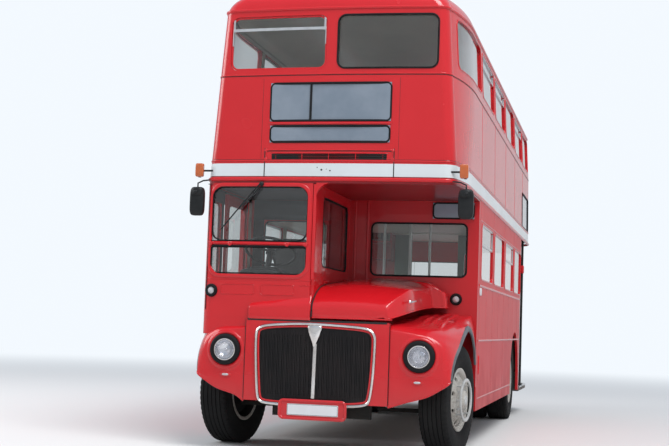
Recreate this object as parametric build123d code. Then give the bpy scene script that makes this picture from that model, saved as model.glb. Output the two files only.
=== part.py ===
from build123d import *
import os
from math import cos, radians, tan

os.makedirs("parts", exist_ok=True)

# Half-cab double decker bus with an open rear platform. While it is modelled, x is to the bus's
# nearside, y is the distance behind the flat front panel of the upper deck, and z is up from the
# ground. Everything is moved at the end, so that the saved origin lies on the ground under the middle.

# Places behind the front panel
NOSE = 90.0
FRONT_AXLE = 770.0
WHEELBASE = 5131.0
REAR_OVERHANG = 2391.0
BULKHEAD = 1448.0
FIRST_PILLAR = 1612.0
BAY = 1295.0
BAYS = 4
FRONT_SPLIT = 250.0
REAR_AXLE = FRONT_AXLE + WHEELBASE
REAR = REAR_AXLE + REAR_OVERHANG
REAR_SPLIT = REAR - 412.0
PLATFORM_FRONT = REAR_AXLE + 739.0
MIDDLE = (REAR - NOSE) / 2

# Width and levels above the ground
HALF_WIDTH = 1219.0
SKIRT = 361.0
PLATFORM_TOP = 390.0
RAIL_TOP = 600.0
FLOOR_DEPTH = 60.0
SALOON_HEIGHT = 1773.0
UPPER_PANEL = 835.0
UPPER_LIGHT = 595.0
ROOF_RISE = 337.0
CAB_SILL = 1195.0
FLOOR_TOP = RAIL_TOP + FLOOR_DEPTH
CANOPY_UNDER = FLOOR_TOP + SALOON_HEIGHT
BAND_UNDER = CANOPY_UNDER + 64.0
UPPER_FLOOR_TOP = BAND_UNDER + 100.0
BAND_TOP = BAND_UNDER + 118.0
UPPER_SILL = BAND_TOP + UPPER_PANEL
GUTTER = UPPER_SILL + UPPER_LIGHT
HEIGHT = GUTTER + ROOF_RISE

# Thicknesses and gaps
WALL = 30.0
UPPER_WALL = 40.0
CAB_WALL = 30.0
BULKHEAD_WALL = 30.0
REAR_BULKHEAD_WALL = 35.0
FLOOR = 25.0
GLASS = 6.0
SEAT_GAP = 0.3
MOVE_GAP = 6.0
BIG = 10000.0


def box(x0, x1, y0, y1, z0, z1):
    """A plain block between two corners."""
    centre = Pos((x0 + x1) / 2, (y0 + y1) / 2, (z0 + z1) / 2)
    return centre * Box(x1 - x0, y1 - y0, z1 - z0)


def across(window, x0, x1):
    """A bar that runs sideways. Its section holds front, rear, bottom, top and corner radius."""
    y0, y1, z0, z1, r = window
    plane = Plane(origin=(x0, (y0 + y1) / 2, (z0 + z1) / 2), x_dir=(0, 1, 0), z_dir=(1, 0, 0))
    return extrude(plane * RectangleRounded(y1 - y0, z1 - z0, r), x1 - x0)


def along(window, y0, y1):
    """A bar that runs lengthways. Its section holds left, right, bottom, top and corner radius."""
    x0, x1, z0, z1, r = window
    plane = Plane(origin=((x0 + x1) / 2, y0, (z0 + z1) / 2), x_dir=(1, 0, 0), z_dir=(0, 1, 0))
    return extrude(plane * RectangleRounded(x1 - x0, z1 - z0, r), y1 - y0)


def shrunk(window, by):
    """A window's section, smaller by an even distance all round."""
    a0, a1, z0, z1, r = window
    return a0 + by, a1 - by, z0 + by, z1 - by, r - by


def rod(start, end, radius):
    """A round bar between two points."""
    a = Vector(*start)
    b = Vector(*end)
    plane = Plane(origin=a, z_dir=b - a)
    return extrude(plane * Circle(radius), (b - a).length)


def other_side(shape):
    """The same piece on the offside."""
    return mirror(shape, about=Plane.YZ)


def pair(shape):
    """The piece and its mirror image."""
    return [shape, other_side(shape)]


def save(name, *pieces):
    """Write one node, moved to the saved origin."""
    solids = []
    for piece in pieces:
        items = piece if isinstance(piece, (list, tuple)) else [piece]
        for item in items:
            solids.extend(item.solids())
    export_step(Pos(0, -MIDDLE, 0) * Compound(children=solids), f"parts/{name}.step")


# Hinges: two fixed end barrels hold a pin, and the moving barrel turns on it between them
HINGE_RADIUS = 9.0
HINGE_PIN = 4.0
HINGE_LENGTH = 90.0


def barrels(middle, direction):
    """The fixed and the moving barrels of one hinge, and the bore that the pin needs."""
    m = Vector(*middle)
    d = Vector(*direction).normalized()
    end = d * (HINGE_LENGTH / 2)
    inner = d * (HINGE_LENGTH / 6)
    gap = d * SEAT_GAP
    fixed = rod(m - end, m - inner - gap, HINGE_RADIUS) + rod(m + inner + gap, m + end, HINGE_RADIUS)
    fixed += rod(m - end, m + end, HINGE_PIN)
    bore = rod(m - inner - gap, m + inner + gap, HINGE_PIN + SEAT_GAP)
    return fixed, rod(m - inner, m + inner, HINGE_RADIUS), bore


# Plan of the body at rising levels. Each row holds the level, the half width, the half width behind
# the front corner, how far back the full width starts, and the front and rear of the outline.
PLAN = [
    (SKIRT, HALF_WIDTH, HALF_WIDTH - 51, 700.0, 0.0, REAR),
    (CANOPY_UNDER, HALF_WIDTH, HALF_WIDTH - 54, 700.0, 0.0, REAR),
    (UPPER_SILL, HALF_WIDTH - 16, HALF_WIDTH - 121, 1000.0, 0.0, REAR),
    (GUTTER, HALF_WIDTH - 47, HALF_WIDTH - 161, 1000.0, 5.0, REAR - 75.0),
]
FRONT_BOW = 40.0
FRONT_CORNER = 110.0
REAR_BOW = 60.0
REAR_CORNER = 330.0


def plan_at(z):
    """The row of the plan at any level, straight between the rows of the table."""
    for low, high in zip(PLAN, PLAN[1:]):
        if z <= high[0]:
            t = (z - low[0]) / (high[0] - low[0])
            return tuple(a + (b - a) * t for a, b in zip(low, high))
    return PLAN[-1]


def outline(z, half, nose, full_from, front, rear, corner_f=FRONT_CORNER, corner_r=REAR_CORNER):
    """A closed plan outline: bowed front, rounded corners, tapered cheeks and a bowed rear."""
    k = 1 - cos(radians(45))
    cheek = front + FRONT_BOW + corner_f
    tail = rear - REAR_BOW
    right = [
        ThreePointArc(
            (nose - corner_f, front + FRONT_BOW),
            (nose - corner_f * k, front + FRONT_BOW + corner_f * k),
            (nose, cheek),
        ),
        TangentArc((half, full_from), (nose, cheek), tangent=(0, -1)),
        Line((half, full_from), (half, tail - corner_r)),
        ThreePointArc(
            (half, tail - corner_r),
            (half - corner_r * k, tail - corner_r * k),
            (half - corner_r, tail),
        ),
    ]
    left = [edge.mirror(Plane.YZ) for edge in right]
    ends = [
        ThreePointArc(
            (corner_f - nose, front + FRONT_BOW), (0, front), (nose - corner_f, front + FRONT_BOW)
        ),
        ThreePointArc((half - corner_r, tail), (0, rear), (corner_r - half, tail)),
    ]
    loop = Wire(right + left + ends)
    return Pos(0, 0, z) * Face(loop)


def level(z, inset=0.0):
    """The body's outline at a level, moved in by an even distance."""
    _, half, nose, full_from, front, rear = plan_at(z)
    return outline(
        z,
        half - inset,
        nose - inset,
        full_from,
        front + inset,
        rear - inset,
        FRONT_CORNER - inset,
        REAR_CORNER - inset,
    )


def body_block(z0, z1, inset=0.0):
    """The solid within the body's outline between two levels."""
    stops = [z0] + [row[0] for row in PLAN if z0 < row[0] < z1] + [z1]
    return loft([level(z, inset) for z in stops], ruled=True)


def body_ring(z0, z1, wall, inset=0.0):
    """The wall of the body between two levels."""
    return body_block(z0, z1, inset) - body_block(z0, z1, inset + wall)


# Lower saloon windows, one between each two pillars, the last one cut short by the rear bulkhead
WINDOW_CORNER = 70.0
LOWER_PILLAR = 160.0
LOWER_SILL = CANOPY_UNDER - 768.0
LOWER_HEAD = CANOPY_UNDER - 191.0
LOWER_WINDOWS = []
for bay in range(BAYS):
    start = FIRST_PILLAR + bay * BAY + LOWER_PILLAR / 2
    end = min(FIRST_PILLAR + (bay + 1) * BAY - LOWER_PILLAR / 2, PLATFORM_FRONT - WALL)
    LOWER_WINDOWS.append((start, end, LOWER_SILL, LOWER_HEAD, WINDOW_CORNER))

# Upper saloon windows: the front quarter light, the whole bays and the short rear one
UPPER_PILLAR = 120.0
UPPER_WINDOWS = [
    (FRONT_SPLIT + 40, FIRST_PILLAR - UPPER_PILLAR / 2, UPPER_SILL + 80, GUTTER - 40, WINDOW_CORNER)
]
for bay in range(BAYS + 1):
    start = FIRST_PILLAR + bay * BAY + UPPER_PILLAR / 2
    end = min(FIRST_PILLAR + (bay + 1) * BAY - UPPER_PILLAR / 2, REAR_SPLIT - 60)
    UPPER_WINDOWS.append((start, end, UPPER_SILL + 80, GUTTER - 40, WINDOW_CORNER))

# Wheel arches in the body sides
ARCH_CENTRE = 559.0
REAR_ARCH = 590.0
WING_ARCH = 615.0


def wheel_arch(y, radius, x0, x1):
    """What a wheel arch takes out of the side: a half round top over straight sides."""
    top = rod((x0, y, ARCH_CENTRE), (x1, y, ARCH_CENTRE), radius)
    return top + box(x0, x1, y - radius, y + radius, 0, ARCH_CENTRE)


# Lower walls. The offside one runs on beside the staircase to the rear corner.
WALL_IN = HALF_WIDTH - WALL
lower_side = box(WALL_IN, HALF_WIDTH, BULKHEAD + BULKHEAD_WALL, PLATFORM_FRONT, SKIRT, BAND_UNDER)
for window in LOWER_WINDOWS:
    lower_side -= across(window, WALL_IN - WALL, HALF_WIDTH + WALL)
lower_side -= wheel_arch(REAR_AXLE, REAR_ARCH, WALL_IN - WALL, HALF_WIDTH + WALL)
save("wall_lower_nearside", lower_side)
offside_tail = box(-HALF_WIDTH, -WALL_IN, PLATFORM_FRONT, REAR_SPLIT, SKIRT, BAND_UNDER)
save("wall_lower_offside", other_side(lower_side) + offside_tail)

# Rear panel below the upper deck: from the offside corner to the edge of the open platform
REAR_OPENING_X = 420.0
REAR_LOWER_GLASS = (-820.0, 180.0, CANOPY_UNDER - 793, CANOPY_UNDER - 233, 80.0)
rear_lower = body_ring(SKIRT, BAND_UNDER, WALL) & box(-BIG, REAR_OPENING_X, REAR_SPLIT, BIG, 0, BIG)
save("wall_rear_lower", rear_lower - along(REAR_LOWER_GLASS, REAR - 300, REAR + 100))

# White band between the decks, a closed ring that the upper deck stands on
save("band_between_decks", body_ring(BAND_UNDER, BAND_TOP, UPPER_WALL))

# Upper deck walls, split at the corner posts. The nearside one has a shallow recess over the
# platform for the side display.
SIDE_DISPLAY = (PLATFORM_FRONT + 110, REAR_SPLIT - 40, BAND_TOP + 25, BAND_TOP + 515, 30.0)
SIDE_DISPLAY_DEPTH = 14.0
FRONT_WINDOW = (50.0, HALF_WIDTH - 241, UPPER_SILL + 36, GUTTER - 55, 75.0)
upper_ring = body_ring(BAND_TOP, GUTTER, UPPER_WALL)
upper_side = upper_ring & box(0, BIG, FRONT_SPLIT, REAR_SPLIT, 0, BIG)
for window in UPPER_WINDOWS:
    upper_side -= across(window, HALF_WIDTH - 300, HALF_WIDTH + 100)
display_zone = across(SIDE_DISPLAY, HALF_WIDTH - 300, HALF_WIDTH + 100)
recess = body_ring(BAND_TOP, UPPER_SILL, SIDE_DISPLAY_DEPTH) & display_zone
save("wall_upper_nearside", upper_side - recess)
save("wall_upper_offside", other_side(upper_side))

# Destination display boxes: half width, bottom and top of each, and of the vent grille under them
DISPLAYS = [(565.0, BAND_TOP + 387, BAND_TOP + 743), (560.0, BAND_TOP + 192, BAND_TOP + 348)]
VENT = (545.0, BAND_TOP + 13, BAND_TOP + 98)
DISPLAY_FACE = 6.0
DISPLAY_BACK = 50.0
front_hole = along(FRONT_WINDOW, -100, FRONT_SPLIT)
upper_front = upper_ring & box(-BIG, BIG, -BIG, FRONT_SPLIT, 0, BIG)
upper_front = upper_front - front_hole - other_side(front_hole)
for half, z0, z1 in DISPLAYS + [VENT]:
    upper_front -= box(-half, half, -100, DISPLAY_BACK, z0, z1)
save("wall_upper_front", upper_front)

# Emergency exit at the rear of the upper deck: a glazed flap hung from its top edge by two hinges
EXIT_OPENING = (-560.0, 560.0, UPPER_SILL - 120, GUTTER - 60, 90.0)
EXIT_THICK = 34.0
EXIT_FRAME = 60.0
EXIT_HINGES = (-300.0, 300.0)
EXIT_AXIS_Y = plan_at(EXIT_OPENING[3])[5] + HINGE_RADIUS + 1
EXIT_AXIS_Z = EXIT_OPENING[3] - MOVE_GAP / 2
EXIT_LEAF = 26.0
upper_rear = upper_ring & box(-BIG, BIG, REAR_SPLIT, BIG, 0, BIG)
upper_rear -= along(EXIT_OPENING, REAR - 400, REAR + 100)
exit_skin = body_ring(EXIT_OPENING[2] - 50, EXIT_OPENING[3] + 50, EXIT_THICK)
exit_light = shrunk(EXIT_OPENING, EXIT_FRAME)
exit_flap = exit_skin & along(shrunk(EXIT_OPENING, MOVE_GAP), REAR - 400, REAR + 100)
exit_flap -= along(exit_light, REAR - 400, REAR + 100)
for x in EXIT_HINGES:
    fixed, moving, bore = barrels((x, EXIT_AXIS_Y, EXIT_AXIS_Z), (1, 0, 0))
    third = HINGE_LENGTH / 6
    leaf_y = EXIT_AXIS_Y - UPPER_WALL
    half = HINGE_LENGTH / 2
    for x0, x1 in ((x - half, x - third - SEAT_GAP), (x + third + SEAT_GAP, x + half)):
        fixed += box(x0, x1, leaf_y, EXIT_AXIS_Y, EXIT_OPENING[3], EXIT_AXIS_Z + EXIT_LEAF)
    leaf_top = EXIT_AXIS_Z - MOVE_GAP / 2
    moving += box(x - third, x + third, leaf_y, EXIT_AXIS_Y, EXIT_AXIS_Z - EXIT_LEAF, leaf_top)
    upper_rear += fixed
    exit_flap += moving - bore
save("wall_upper_rear", upper_rear)
save("exit_flap", exit_flap)
exit_pane = body_ring(EXIT_OPENING[2] - 50, EXIT_OPENING[3] + 50, GLASS, (EXIT_THICK - GLASS) / 2)
save("exit_glass", exit_pane & along(shrunk(exit_light, SEAT_GAP), REAR - 400, REAR + 100))

# Roof: domed from the gutter to the crown. Each row holds the rise as a share of the roof's height,
# the share of the width that is left there, how far the front and rear have come in, and the corners.
ROOF = [
    (0.0, 1.0, 0.0, 0.0, 110.0, 330.0),
    (0.386, 0.955, 32.0, 60.0, 190.0, 360.0),
    (0.712, 0.80, 150.0, 240.0, 300.0, 420.0),
    (0.89, 0.60, 310.0, 470.0, 330.0, 420.0),
    (1.0, 0.28, 640.0, 900.0, 250.0, 260.0),
]
ROOF_SKIN = 35.0
FRONT_DOME = FIRST_PILLAR
REAR_DOME = FIRST_PILLAR + BAYS * BAY


def roof_block(inset):
    """The roof's dome, moved in by an even distance."""
    _, half, nose, full_from, front, rear = PLAN[-1]
    faces = []
    for rise, share, front_in, rear_in, corner_f, corner_r in ROOF:
        z = GUTTER + rise * (ROOF_RISE - inset)
        faces.append(
            outline(
                z,
                half * share - inset,
                nose * share - inset,
                full_from + front_in,
                front + front_in + inset,
                rear - rear_in - inset,
                corner_f - inset,
                corner_r - inset,
            )
        )
    return loft(faces)


dome = (roof_block(0) & box(-BIG, BIG, -BIG, BIG, 0, HEIGHT)) - roof_block(ROOF_SKIN)
save("roof_panels", dome & box(-BIG, BIG, FRONT_DOME, REAR_DOME, 0, BIG))
front_zone = box(-BIG, BIG, -BIG, FRONT_DOME, 0, BIG)
rear_zone = box(-BIG, BIG, REAR_DOME, BIG, 0, BIG)
save("roof_domes", dome & front_zone, dome & rear_zone)

# Upper floor inside the walls, with the stairwell, and the canopy over the bonnet and cab
STAIR_WIDTH = 579.0
STAIR_OUTER = 10 - WALL_IN
STAIR_INNER = STAIR_OUTER + STAIR_WIDTH
STAIR_REAR = REAR - 842.0
STAIR_GOING = 180.0
STAIR_STEPS = 6
STAIR_FRONT = STAIR_REAR - STAIR_GOING * STAIR_STEPS
STAIR_LANDING = REAR - 172.0
WELL_REAR = REAR - 542.0
deck = body_block(BAND_UNDER, UPPER_FLOOR_TOP, UPPER_WALL)
save("floor_upper", deck - box(UPPER_WALL - HALF_WIDTH, STAIR_INNER, STAIR_FRONT, WELL_REAR, 0, BIG))
cab_end = BULKHEAD + BULKHEAD_WALL
save("canopy", body_block(CANOPY_UNDER, BAND_UNDER) & box(-BIG, BIG, -BIG, cab_end, 0, BIG))

# Fixed glass of the upper saloon, in the middle of the walls' thickness
pane_ring = body_ring(UPPER_SILL, GUTTER - 10, GLASS, (UPPER_WALL - GLASS) / 2)
upper_panes = []
for window in UPPER_WINDOWS:
    pane_zone = across(shrunk(window, SEAT_GAP), HALF_WIDTH - 300, HALF_WIDTH + 100)
    upper_panes.extend(pair(pane_ring & pane_zone))
upper_panes.extend(pair(pane_ring & along(shrunk(FRONT_WINDOW, SEAT_GAP), -100, FRONT_SPLIT)))
save("glass_upper", upper_panes)

# Front bulkhead across the bus, short of the offside wall by the cab door's pocket
DOOR_THICK = 30.0
DOOR_OUT = WALL_IN - MOVE_GAP
POCKET = DOOR_OUT - DOOR_THICK - MOVE_GAP
BULKHEAD_GLASS = [
    (128.0, HALF_WIDTH - 115, CANOPY_UNDER - 761, CANOPY_UNDER - 223, 60.0),
    (219 - HALF_WIDTH, -330.0, CANOPY_UNDER - 761, CANOPY_UNDER - 223, 60.0),
]
bulkhead = box(-POCKET, HALF_WIDTH, BULKHEAD, cab_end, RAIL_TOP, CANOPY_UNDER)
for window in BULKHEAD_GLASS:
    bulkhead -= along(window, BULKHEAD - 50, cab_end + 50)
save("bulkhead_front", bulkhead)

# Fixed glass of the lower saloon: its sides, the bulkhead and the rear light behind the staircase
lower_panes = []
pane_x = HALF_WIDTH - (WALL + GLASS) / 2
for window in LOWER_WINDOWS:
    lower_panes.extend(pair(across(shrunk(window, SEAT_GAP), pane_x, pane_x + GLASS)))
pane_y = BULKHEAD + (BULKHEAD_WALL - GLASS) / 2
for window in BULKHEAD_GLASS:
    lower_panes.append(along(shrunk(window, SEAT_GAP), pane_y, pane_y + GLASS))
rear_skin = body_ring(REAR_LOWER_GLASS[2] - 50, REAR_LOWER_GLASS[3] + 50, GLASS, (WALL - GLASS) / 2)
lower_panes.append(rear_skin & along(shrunk(REAR_LOWER_GLASS, SEAT_GAP), REAR - 300, REAR + 100))
save("glass_lower", lower_panes)

# Blank destination displays: two in the upper front, one over the bulkhead window, one on the side
ROUTE_BOX = (HALF_WIDTH - 466, HALF_WIDTH - 51, CANOPY_UNDER - 178, CANOPY_UNDER - 17)
SIDE_DISPLAY_THICK = 6.0
displays = [box(-half, half, DISPLAY_FACE, DISPLAY_BACK, z0, z1) for half, z0, z1 in DISPLAYS]
x0, x1, z0, z1 = ROUTE_BOX
displays.append(box(x0, x1, BULKHEAD - 12, BULKHEAD, z0, z1))
display_out = SIDE_DISPLAY_DEPTH - SIDE_DISPLAY_THICK - SEAT_GAP
side_skin = body_ring(BAND_TOP, UPPER_SILL, SIDE_DISPLAY_THICK, display_out)
displays.append(side_skin & across(shrunk(SIDE_DISPLAY, SEAT_GAP), HALF_WIDTH - 300, HALF_WIDTH + 100))
save("display_boxes", displays)

# Vent grille under the displays: rows of slots between bars across, in one pressed frame
VENT_FACE = 10.0
VENT_BACK = 34.0
VENT_ROWS = 5
VENT_RIM = 4.0
half, z0, z1 = VENT
slot = (z1 - z0 - 2 * VENT_RIM) / (2 * VENT_ROWS - 1)
vent = box(-half, half, VENT_FACE, VENT_BACK, z0, z1)
for row in range(VENT_ROWS):
    bottom = z0 + VENT_RIM + 2 * row * slot
    vent -= box(2 * VENT_RIM - half, half - 2 * VENT_RIM, 0, VENT_BACK - VENT_FACE, bottom, bottom + slot)
save("vent_grille", vent)

# Rear bulkhead of the lower saloon, with the open doorway to the platform
DOORWAY = 330.0
STAIR_UNDER = 1850.0
bulkhead_end = PLATFORM_FRONT + REAR_BULKHEAD_WALL
rear_bulkhead = box(DOORWAY, WALL_IN, PLATFORM_FRONT, bulkhead_end, PLATFORM_TOP, BAND_UNDER)
rear_light = (DOORWAY + 90, WALL_IN - 60, CANOPY_UNDER - 933, CANOPY_UNDER - 183, 60)
rear_bulkhead -= along(rear_light, PLATFORM_FRONT - 50, PLATFORM_FRONT + 100)
stair_side = STAIR_INNER + 25
offside_part = box(stair_side, -DOORWAY, PLATFORM_FRONT, bulkhead_end, PLATFORM_TOP, BAND_UNDER)
offside_part += box(-WALL_IN, stair_side, PLATFORM_FRONT, bulkhead_end, PLATFORM_TOP, STAIR_UNDER)
save("bulkhead_rear", rear_bulkhead, offside_part)

# Front cowl: the red front round the grille, between the wings. It holds left, right, bottom and top.
COWL = (-703.0, 621.0, 460.0, 1190.0)
COWL_FACE = -35.0
COWL_BACK = 60.0
COWL_SKIN = 25.0

# The grille's outline is a shield that leans in towards its foot: left, right and height of its
# shoulders, then of its foot, the crown of its top and the radius of its corners.
SHIELD_TOP = (-612.0, 510.0, 1150.0)
SHIELD_FOOT = (-574.0, 474.0, 428.0)
SHIELD_CROWN = 22.0
SHIELD_CORNER = 85.0
GRILLE_FRAME = 26.0
GRILLE_PROUD = 25.0


def shield(inset, y0, y1):
    """The grille's outline, moved in by an even distance, between two places back."""
    left, right, top = SHIELD_TOP
    foot_left, foot_right, foot = SHIELD_FOOT
    corners = [
        (left + inset, top - inset),
        (right - inset, top - inset),
        (foot_right - inset, foot + inset),
        (foot_left + inset, foot + inset),
    ]
    crown = ((left + right) / 2, top + SHIELD_CROWN - inset)
    lines = [
        ThreePointArc(corners[0], crown, corners[1]),
        Line(corners[1], corners[2]),
        Line(corners[2], corners[3]),
        Line(corners[3], corners[0]),
    ]
    face = make_face(lines)
    face = fillet(face.vertices(), SHIELD_CORNER - inset)
    plane = Plane(origin=(0, y1, 0), x_dir=(1, 0, 0), z_dir=(0, -1, 0))
    return extrude(plane * face, y1 - y0)


x0, x1, z0, z1 = COWL
cowl = along((x0, x1, z0, z1, 12), COWL_FACE, COWL_BACK)
cowl -= box(x0 + COWL_SKIN, x1 - COWL_SKIN, COWL_FACE + COWL_SKIN, COWL_BACK + 40, z0 - 5, z1 - COWL_SKIN)
grille_hole = shield(GRILLE_FRAME, COWL_FACE - 50, COWL_BACK + 40)
save("front_cowl", cowl - grille_hole)
GRILLE_BAR = (-72.0, -32.0)
frame = shield(0, COWL_FACE - GRILLE_PROUD, COWL_FACE) & box(-BIG, BIG, -BIG, BIG, z0, z1)
frame -= grille_hole
bar_top = SHIELD_TOP[2] - GRILLE_FRAME
frame += box(GRILLE_BAR[0], GRILLE_BAR[1], COWL_FACE - GRILLE_PROUD, COWL_FACE, z0, bar_top)
save("grille_frame", frame)

# Grille core: upright slats in front of the radiator's block, as grooves in one plate
SLAT_PITCH = 42.0
SLAT = 14.0
SLAT_DEPTH = 12.0
CORE_THICK = 20.0
core = shield(GRILLE_FRAME + SEAT_GAP, COWL_FACE + SEAT_GAP, COWL_FACE + CORE_THICK)
slats = int((SHIELD_TOP[1] - SHIELD_TOP[0]) / SLAT_PITCH)
for slat in range(1, slats):
    x = SHIELD_TOP[0] + slat * SLAT_PITCH
    core -= box(x, x + SLAT_PITCH - SLAT, -BIG, COWL_FACE + SLAT_DEPTH, COWL[2] + 60, bar_top - 60)
save("grille_mesh", core)

# Number plate panel in front of the grille's foot, left blank
PLATE = (-352.0, 251.0, 323.0, 483.0, 30.0)
save("number_plate_panel", along(PLATE, -NOSE, COWL_FACE - GRILLE_PROUD))

# Cab: windscreen wall and offside wall in one curved shell, and the inner side wall over the bonnet
CAB_INNER = -130.0
INNER_FACE = CAB_INNER + CAB_WALL
CAB_FLOOR_TOP = CAB_SILL + FLOOR
HEAD_RAIL = 20.0
WINDSCREEN = (109 - HALF_WIDTH, CAB_INNER - 30, CANOPY_UNDER - 853, CANOPY_UNDER - 18, 120.0)
WINDSCREEN_BAR = (CANOPY_UNDER - 591, CANOPY_UNDER - 533)
DOOR = (660.0, 1290.0)
QUARTER_LIGHT = (215.0, 580.0, CANOPY_UNDER - 829, CANOPY_UNDER - 143, 60.0)
CAB_SIDE_GLASS = (300.0, 1330.0, CANOPY_UNDER - 743, CANOPY_UNDER - 93, 60.0)
cab = body_ring(CAB_SILL, CANOPY_UNDER, CAB_WALL) & box(-BIG, CAB_INNER, -BIG, BULKHEAD, 0, BIG)
bar_zone = box(-BIG, BIG, -BIG, BIG, WINDSCREEN_BAR[0], WINDSCREEN_BAR[1])
cab -= along(WINDSCREEN, -100, 150) - bar_zone
cab -= box(-BIG, 319 - HALF_WIDTH, DOOR[0], DOOR[1], CAB_FLOOR_TOP, CANOPY_UNDER - HEAD_RAIL)
cab -= across(QUARTER_LIGHT, -BIG, 319 - HALF_WIDTH)
save("cab_shell", cab)

# Bonnet. Each row across it holds the distance back, the nearside edge, the height at the joint, the
# height of the foot and the crown of the top.
BONNET_FRONT = COWL_FACE + 5
BONNET = [
    (BONNET_FRONT, 622.0, 1312.0, 1222.0, 6.0),
    (120.0, 712.0, 1436.0, 1276.0, 14.0),
    (290.0, 762.0, 1505.0, 1306.0, 20.0),
    (820.0, 806.0, 1562.0, 1346.0, 28.0),
    (BULKHEAD - MOVE_GAP, 905.0, 1603.0, 1372.0, 40.0),
]
LID_SKIN = 18.0
LID_SHOULDER = 70.0
LID_EDGE = INNER_FACE + MOVE_GAP


def bonnet_section(y, x0, x1, top, foot, crown):
    """One section across the bonnet: a crowned top and a rounded nearside shoulder."""
    drop = 10.0
    k = 1 - cos(radians(45))
    side = x1 - LID_SHOULDER
    lines = [
        Line((x0, foot), (x0, top)),
        ThreePointArc((x0, top), ((x0 + side) / 2, top + crown), (side, top - drop)),
        ThreePointArc(
            (side, top - drop),
            (x1 - LID_SHOULDER * k, top - drop - LID_SHOULDER * k),
            (x1, top - drop - LID_SHOULDER),
        ),
        Line((x1, top - drop - LID_SHOULDER), (x1, foot)),
        Line((x1, foot), (x0, foot)),
    ]
    plane = Plane(origin=(0, y, 0), x_dir=(1, 0, 0), z_dir=(0, -1, 0))
    return plane * make_face(lines)


outer_rows = []
inner_rows = []
for y, x1, top, foot, crown in BONNET:
    outer_rows.append(bonnet_section(y, LID_EDGE, x1, top, foot, crown))
    inner_y = max(y, BONNET_FRONT + LID_SKIN)
    inner = bonnet_section(inner_y, LID_EDGE - 40, x1 - LID_SKIN, top - LID_SKIN, foot - 40, crown)
    inner_rows.append(inner)
lid = loft(outer_rows) - loft(inner_rows)

# The lid turns about a line over its joint with the cab, on two hinges
HINGE_RISE = (40.0, 16.0)
HINGE_X = INNER_FACE + HINGE_RADIUS + 3
HINGE_START = (HINGE_X, BONNET[2][0], BONNET[2][2] + HINGE_RISE[0])
HINGE_END = (HINGE_X, BONNET[-1][0], BONNET[-1][2] + HINGE_RISE[1])
LID_HINGES = (430.0, 1230.0)
LEAF = 34.0
inner_side = box(CAB_INNER, INNER_FACE, CAB_WALL, BULKHEAD, CAB_SILL, CANOPY_UNDER)
inner_side -= across(CAB_SIDE_GLASS, CAB_INNER - 50, INNER_FACE + 50)
hinge_line = Vector(*HINGE_END) - Vector(*HINGE_START)
third = HINGE_LENGTH / 6
for y in LID_HINGES:
    spot = Vector(*HINGE_START) + hinge_line * ((y - HINGE_START[1]) / (HINGE_END[1] - HINGE_START[1]))
    fixed, moving, bore = barrels(tuple(spot), tuple(hinge_line))
    for y0, y1 in ((y - HINGE_LENGTH / 2 + 5, y - third - 5), (y + third + 5, y + HINGE_LENGTH / 2 - 5)):
        fixed += box(INNER_FACE - 1, HINGE_X, y0, y1, spot.Z - 5, spot.Z + 5)
    moving += box(HINGE_X - 3, HINGE_X + LEAF, y - third + 2, y + third - 2, spot.Z - LEAF, spot.Z - 3)
    inner_side += fixed
    lid += moving - bore
    lid -= bore
save("cab_inner_wall", inner_side)
save("bonnet_lid", lid)

# Fixed side of the bonnet, between the lid and the cab's front corner
fixed_side = box(COWL[0] + 13, INNER_FACE - 1, BONNET_FRONT, CAB_WALL - 1, COWL[3] + SEAT_GAP, 1310)
save("bonnet_side", fixed_side - body_block(SKIRT, CANOPY_UNDER))

# Cab glass: the windscreen in two panes with a bar between, quarter light and inner side light
screen_skin = body_ring(WINDSCREEN[2] - 50, CANOPY_UNDER - 5, GLASS, (CAB_WALL - GLASS) / 2)
screen = screen_skin & along(shrunk(WINDSCREEN, SEAT_GAP), -100, 150)
screen -= box(-BIG, BIG, -BIG, BIG, WINDSCREEN_BAR[0] - SEAT_GAP, WINDSCREEN_BAR[1] + SEAT_GAP)
quarter = screen_skin & across(shrunk(QUARTER_LIGHT, SEAT_GAP), -BIG, 319 - HALF_WIDTH)
pane_x = CAB_INNER + (CAB_WALL - GLASS) / 2
side_light = across(shrunk(CAB_SIDE_GLASS, SEAT_GAP), pane_x, pane_x + GLASS)
save("glass_cab", screen, quarter, side_light)

# Cab floor over the wheel, and the door's two rails that run back into the body side
RAIL = 18.0
DOOR_TRAVEL = 560.0
cab_floor = body_block(CAB_SILL, CAB_FLOOR_TOP, CAB_WALL) & box(-BIG, CAB_INNER, -BIG, BULKHEAD, 0, BIG)
door_head = CANOPY_UNDER - HEAD_RAIL - RAIL
rails = []
for z in (CAB_FLOOR_TOP, door_head):
    rail_end = DOOR[1] + DOOR_TRAVEL + 20
    rails.append(box(-DOOR_OUT, DOOR_THICK - DOOR_OUT, DOOR[0] - 40, rail_end, z, z + RAIL))
save("cab_floor", cab_floor, rails)

# Sliding cab door with its glass
DOOR_BOTTOM = CAB_FLOOR_TOP + RAIL + SEAT_GAP
DOOR_LIGHT = (DOOR[0] + 70, DOOR[1] - 60) + QUARTER_LIGHT[2:]
door_skin = (-DOOR_OUT, DOOR_THICK - DOOR_OUT)
door = box(*door_skin, DOOR[0] + MOVE_GAP, DOOR[1] + 10, DOOR_BOTTOM, door_head - SEAT_GAP)
save("cab_door", door - across(DOOR_LIGHT, -BIG, 319 - HALF_WIDTH))
pane_x = (DOOR_THICK - GLASS) / 2 - DOOR_OUT
save("cab_door_glass", across(shrunk(DOOR_LIGHT, SEAT_GAP), pane_x, pane_x + GLASS))

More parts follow.
